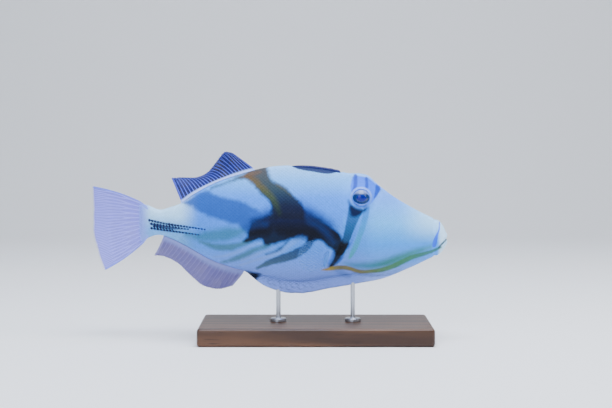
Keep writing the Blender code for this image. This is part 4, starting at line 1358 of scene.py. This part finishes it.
def finMaterial(name, looks):
    # fin skin cast in clear resin: see-through web, more solid rays and a fleshy foot
    material, tree = startMaterial(name)
    ray, reach, span = (
        addNode(tree, "ShaderNodeAttribute", attribute_name=field).outputs["Fac"]
        for field in ("ray", "reach", "span")
    )
    place = addNode(tree, "ShaderNodeTexCoord").outputs["Object"]
    cloud = addNode(
        tree, "ShaderNodeTexNoise",
        {"Vector": place, "Scale": 1 / (finPlan["cloudSize"] * mm), "Detail": 4.0},
    )
    aside = addNode(tree, "ShaderNodeMath", {0: span, 1: 0.5}, operation="SUBTRACT")
    ends = addNode(tree, "ShaderNodeMath", {0: aside}, operation="ABSOLUTE")
    steps = {
        # what is read, where the step starts and ends, and its values there
        "cloud": (cloud, 0.3, 0.7, 0.0, 1.0),
        "ray": (ray, 0.15, 0.8, 0.0, 1.0),
        "edge": (ends, 0.465, 0.5, 0.0, 0.8),
        "foot": (reach, *looks["footReach"][::-1], 0.0, 1.0),
        "web": (span, *looks["clearTo"], looks["frontOpacity"], looks["rearOpacity"]),
        "mottle": (cloud, 0.2, 0.8, 0.85, 1.12),
        "solidRay": (ray, 0.1, 0.75, 0.0, 1.0),
    }
    shares = {
        step: addNode(
            tree, "ShaderNodeMapRange", dict(enumerate(values)), interpolation_type="SMOOTHSTEP"
        )
        for step, values in steps.items()
    }
    colour = looks["web"][0]
    for step, over in (("cloud", looks["web"][1]), ("ray", looks["rayColour"]),
                       ("edge", looks["edge"]), ("foot", looks["foot"])):
        colour = addNode(
            tree, "ShaderNodeMix", {"Factor": shares[step], 6: colour, 7: over},
            data_type="RGBA",
        ).outputs[2]
    opacity = addNode(
        tree, "ShaderNodeMath", {0: shares["web"], 1: shares["mottle"]}, operation="MULTIPLY"
    )
    for step, over in (("solidRay", looks["rayOpacity"]), ("foot", 1.0)):
        opacity = addNode(tree, "ShaderNodeMix", {0: shares[step], 2: opacity, 3: over})
    shader = addNode(
        tree, "ShaderNodeBsdfPrincipled",
        {"Base Color": colour, "Alpha": opacity, "Roughness": 0.5, "IOR": 1.42,
         "Specular IOR Level": 0.2},
    )
    addNode(tree, "ShaderNodeOutputMaterial", {0: shader})
    return material


edgeFins = {
    "dorsalFin": {
        "node": "dorsal_fin", "web": "dorsal fin web",
        "base": (-8.0, -49.6), "outward": 1, "edge": backAt, "rays": 24,
        "forks": ((0.6, 0.95, 0.2),), "foot": (0.11, 2.0),
        "tips": (
            (0.0, 13.0, 9.4, 0.6), (0.15, 11.5, 11.5, 2.0), (0.3, 10.7, 7.0, 8.5),
            (0.45, 9.6, 3.4, 11.3), (0.6, 9.0, 3.6, 11.2), (0.75, 8.2, 6.8, 9.5),
            (0.9, 7.0, 11.0, 5.0), (1.0, 5.6, 14.0, 0.6),
        ),
    },
    "analFin": {
        "node": "anal_fin", "web": "anal fin web",
        "base": (-14.2, -59.6), "outward": -1, "edge": bellyAt, "rays": 21,
        "forks": ((0.55, 0.9, 0.2),), "foot": (0.14, 2.0),
        "tips": (
            (0.0, 7.0, 8.6, 1.6), (0.15, 8.6, 12.6, 3.6), (0.3, 9.6, 13.2, 4.0),
            (0.5, 9.0, 10.7, 6.0), (0.7, 7.9, 8.8, 7.0), (0.85, 7.3, 9.4, 5.6),
            (1.0, 5.8, 11.4, 2.6),
        ),
    },
}


def edgeFinMiddle(plan):
    shares = [row[0] for row in plan["tips"]]
    back, out, aside = (
        curveThrough([(share, row[i]) for share, row in zip(shares, plan["tips"])])
        for i in (1, 2, 3)
    )

    def middle(u, v):
        x = plan["base"][0] + (plan["base"][1] - plan["base"][0]) * u
        arch = np.sin(math.pi * v) * aside(u) * finPlan["arch"]
        root = finPlan["root"] * (1 - ease(0, 0.12, v))
        height = out(u) * v + arch + finPlan["lift"] + root
        height = plan["edge"](x) + plan["outward"] * height
        return np.stack([x - back(u) * v, aside(u) * v**1.3, height], axis=-1)

    return middle


tailFin = {
    "rays": 12, "forks": ((0.3, 0.55, 0.25), (0.6, 0.85, 0.125)), "foot": (0.2, 1.6),
    "rootInset": 1.3,  # from the stalk's edge to the first ray
    "root": -67.0, "centre": (-60.0, -0.2), "angles": (153.0, 219.5), "radius": 40.0,
    "corners": (4.9, 2.6), "bow": 1.6, "wave": 2.2,
}


def tailMiddle(u, v):
    first, last = tailFin["angles"]
    angle = np.radians(first + (last - first) * u)
    top, foot = tailFin["corners"]
    corner = top * np.clip(1 - 2 * u, 0, 1) ** 3 + foot * np.clip(2 * u - 1, 0, 1) ** 3
    radius = tailFin["radius"] + corner
    tipX = tailFin["centre"][0] + radius * np.cos(angle)
    tipZ = tailFin["centre"][1] + radius * np.sin(angle)
    rootX = tailFin["root"]
    inset = tailFin["rootInset"] * (1 - ease(0, 0.2, v))
    rootTop, rootFoot = backAt(rootX) - inset, bellyAt(rootX) + inset
    rootZ = rootTop + (rootFoot - rootTop) * u
    bow = tailFin["bow"] * (1 - 2 * u) * np.sin(math.pi * v)
    wave = tailFin["wave"] * v * v * np.sin(math.pi * (0.25 + 1.1 * u))
    return np.stack([rootX + (tipX - rootX) * v, wave, rootZ + (tipZ - rootZ) * v + bow], axis=-1)


pectoralFin = {
    "rays": 13, "forks": (), "foot": (0.05, 0.5), "root": ((33.6, -15.6), (31.6, -23.4)),
    "angles": (132.0, 203.0), "lengths": (9.0, 9.5), "flare": math.radians(20),
}


def pectoralMiddle(side):
    def middle(u, v):
        (topX, topZ), (footX, footZ) = pectoralFin["root"]
        first, last = pectoralFin["angles"]
        shortest, more = pectoralFin["lengths"]
        x, z = topX + (footX - topX) * u, topZ + (footZ - topZ) * u
        angle = np.radians(first + (last - first) * u)
        length = shortest + more * np.sin(math.pi * u) ** 0.8
        start = sidePoints(x, z, side, 0.4 + 0.8 * ease(0, 0.1, v)[..., None])
        out = math.sin(pectoralFin["flare"]) * length * v * (1 - 0.25 * v)
        reach = math.cos(pectoralFin["flare"]) * length * v
        return start + np.stack([reach * np.cos(angle), side * out, reach * np.sin(angle)], axis=-1)

    return middle


# The stand keeps its solids and takes a walnut and a brushed steel finish

standLooks = {
    "walnut": ("#3a2417", "#5d3d27", "#2a190f"),
    # sizes in millimetres: year rings, the bends in them, the pores, and the brush marks
    "ringSize": 5.5, "bendSize": 16.0, "poreSize": 0.7,
    "steel": "#b9bcc2",
    "brushSize": 0.12,
}


def walnutMaterial():
    # walnut with a satin varnish: long grain with darker pores
    material, tree = startMaterial("varnished walnut")
    place = addNode(tree, "ShaderNodeTexCoord").outputs["Object"]
    along, fine = (
        addNode(tree, "ShaderNodeMapping", {"Vector": place, "Scale": (stretch, 1.0, 1.0)})
        for stretch in (0.12, 0.06)
    )
    bend = addNode(
        tree, "ShaderNodeTexNoise",
        {"Vector": along, "Scale": 1 / (standLooks["bendSize"] * mm), "Detail": 3.0},
    )
    rings = addNode(
        tree, "ShaderNodeTexWave",
        {"Vector": along, "Scale": 1 / (standLooks["ringSize"] * mm) / 6,
         "Distortion": 7.0, "Detail": 3.0, "Detail Scale": 1.4},
        bands_direction="Y",
    ).outputs["Fac"]
    share = addNode(tree, "ShaderNodeMath", {0: rings, 1: bend}, operation="MULTIPLY")
    mid, light, dark = standLooks["walnut"]
    ramp = addNode(tree, "ShaderNodeValToRGB", {0: share})
    grain = setStops(ramp, [(0.05, mid), (0.4, light), (0.75, mid)])
    pores = addNode(
        tree, "ShaderNodeTexNoise",
        {"Vector": fine, "Scale": 1 / (standLooks["poreSize"] * mm), "Detail": 2.0},
    )
    pore = addNode(tree, "ShaderNodeMapRange", {0: pores, 1: 0.6, 2: 0.72, 4: 0.7})
    colour = addNode(
        tree, "ShaderNodeMix", {"Factor": pore, 6: grain, 7: dark}, data_type="RGBA"
    ).outputs[2]
    bump = addNode(
        tree, "ShaderNodeBump", {"Strength": 0.15, "Distance": 0.1 * mm, "Height": pores}
    )
    shader = addNode(
        tree, "ShaderNodeBsdfPrincipled",
        {"Base Color": colour, "Roughness": 0.4, "Normal": bump, "IOR": 1.5,
         "Specular IOR Level": 0.35},
    )
    addNode(tree, "ShaderNodeOutputMaterial", {0: shader})
    return material


def steelMaterial():
    # stainless rod, brushed round its length: a soft streaked shine
    material, tree = startMaterial("brushed stainless steel")
    place = addNode(tree, "ShaderNodeTexCoord").outputs["Object"]
    brushed = addNode(tree, "ShaderNodeMapping", {"Vector": place, "Scale": (0.15, 0.15, 1.0)})
    streaks = addNode(
        tree, "ShaderNodeTexNoise",
        {"Vector": brushed, "Scale": 1 / (standLooks["brushSize"] * mm), "Detail": 3.0},
    )
    rough = addNode(tree, "ShaderNodeMapRange", {0: streaks, 1: 0.2, 2: 0.8, 3: 0.22, 4: 0.42})
    bump = addNode(
        tree, "ShaderNodeBump", {"Strength": 0.12, "Distance": 0.05 * mm, "Height": streaks}
    )
    shader = addNode(
        tree, "ShaderNodeBsdfPrincipled",
        {"Base Color": standLooks["steel"], "Metallic": 1.0, "Roughness": rough, "Normal": bump},
    )
    addNode(tree, "ShaderNodeOutputMaterial", {0: shader})
    return material


def finishNode(name, material):
    slots = nodes[name].data.materials
    if not slots:
        slots.append(material)
    for index in range(len(slots)):
        slots[index] = material


roomLooks = {
    "floor": "#faf9f7",
    "back": 0.75,  # metres behind the fish to the foot of the backdrop
    "bend": 0.45,
    "height": 1.6,
    "front": -2.5,
    "side": 3.0,
    "world": "#dfe8f6",
    "worldStrength": 0.36,
}

lights = {
    "overhead": {"place": (0.1, -0.15, 0.95), "aim": (0.0, 0.0, 0.07), "size": 0.7, "watts": 20.0,
                 "colour": "#e4edff"},
    "front": {"place": (-0.35, -0.9, 0.45), "aim": (0.0, 0.0, 0.07), "size": 0.6, "watts": 6.0,
              "colour": "#e4edff"},
    "snout": {"place": (0.8, -0.25, 0.5), "aim": (0.05, 0.0, 0.07), "size": 0.4, "watts": 3.0,
              "colour": "#ffffff"},
}

view = {
    "lens": 85.0, "frameWidth": 0.3448, "elevation": math.radians(3.0), "aim": (0.0206, 0.0, 10.1),
    "sensor": 36.0,
}


def makeRoom():
    # a pale floor that curves up into a plain backdrop
    back, bend, height = roomLooks["back"], roomLooks["bend"], roomLooks["height"]
    side = roomLooks["side"]
    profile = [(roomLooks["front"], 0.0), (back, 0.0)]
    for turn in np.linspace(0, math.pi / 2, 24)[1:]:
        profile.append((back + bend * math.sin(turn), bend * (1 - math.cos(turn))))
    profile.append((back + bend, height))
    points, faces = [], []
    for y, z in profile:
        points += [(-side, y, z), (side, y, z)]
    for i in range(len(profile) - 1):
        faces.append((2 * i, 2 * i + 1, 2 * i + 3, 2 * i + 2))
    mesh = bpy.data.meshes.new("floor")
    mesh.from_pydata(points, [], faces)
    mesh.shade_smooth()
    floor = addObject("floor", mesh)
    material, tree = startMaterial("pale paper")  # matt, with an even pale tone
    shader = addNode(
        tree, "ShaderNodeBsdfPrincipled", {"Base Color": roomLooks["floor"], "Roughness": 0.85}
    )
    addNode(tree, "ShaderNodeOutputMaterial", {0: shader})
    mesh.materials.append(material)
    world = bpy.data.worlds.new("room")
    world.use_nodes = True
    sky = world.node_tree.nodes["Background"]
    sky.inputs["Color"].default_value = toLinear(roomLooks["world"])
    sky.inputs["Strength"].default_value = roomLooks["worldStrength"]
    bpy.context.scene.world = world


def makeLights():
    for name, looks in lights.items():
        lamp = bpy.data.lights.new(name, "AREA")
        lamp.shape = "SQUARE"
        lamp.size = looks["size"]
        lamp.energy = looks["watts"]
        lamp.color = toLinear(looks["colour"])[:3]
        holder = addObject(name, lamp)
        holder.location = looks["place"]
        aim = Vector(looks["aim"]) - Vector(looks["place"])
        holder.rotation_euler = aim.to_track_quat("-Z", "Y").to_euler()


def makeCamera():
    camera = bpy.data.cameras.new("camera")
    camera.lens = view["lens"]
    camera.sensor_width = view["sensor"]
    distance = view["frameWidth"] * view["lens"] / view["sensor"]
    x, y, z = view["aim"]
    aim = Vector((x, y, (axisHeight + z) * mm))
    away = Vector((0, -math.cos(view["elevation"]), math.sin(view["elevation"]))) * distance
    holder = addObject("camera", camera)
    holder.location = aim + away
    holder.rotation_euler = (-away).to_track_quat("-Z", "Y").to_euler()
    bpy.context.scene.camera = holder


skin = skinMaterial("painted triggerfish skin", 0.35)
makeSkin(skin)
print("skin made")

eyeGlass = eyeMaterial()
for side, node in ((-1, "eye_right"), (1, "eye_left")):
    makeEye(side, node, eyeGlass)
    makeEyeRim(side, skin)
print("eyes made")

onSkin = setOnSkinTree()
makeScales(onSkin, skin)
makeStalkSpines(onSkin, hornMaterial("dark horn", stalkSpines["colour"], stalkSpines["tip"]))
makeFoldedSpines(hornMaterial("navy fin web", foldedSpines["colour"], foldedSpines["pale"]))
print("scales and spines set")

webs = {name: finMaterial(name, looks) for name, looks in finLooks.items()}
for name, plan in edgeFins.items():
    finPiece(name, edgeFinMiddle(plan), plan, webs[plan["web"]], plan["node"])
finPiece("tailFin", tailMiddle, tailFin, webs["tail fin web"], "caudal_fin")
for side, name, node in (
    (-1, "pectoralFinRight", "pectoral_fin_right"), (1, "pectoralFinLeft", "pectoral_fin_left"),
):
    finPiece(name, pectoralMiddle(side), pectoralFin, webs["pectoral fin web"], node)
print("fins made")

finishNode("stand_base", walnutMaterial())
steel = steelMaterial()
for rod in ("stand_rod_front", "stand_rod_rear"):
    finishNode(rod, steel)

makeRoom()
makeLights()
makeCamera()
print("room, lights and camera made")
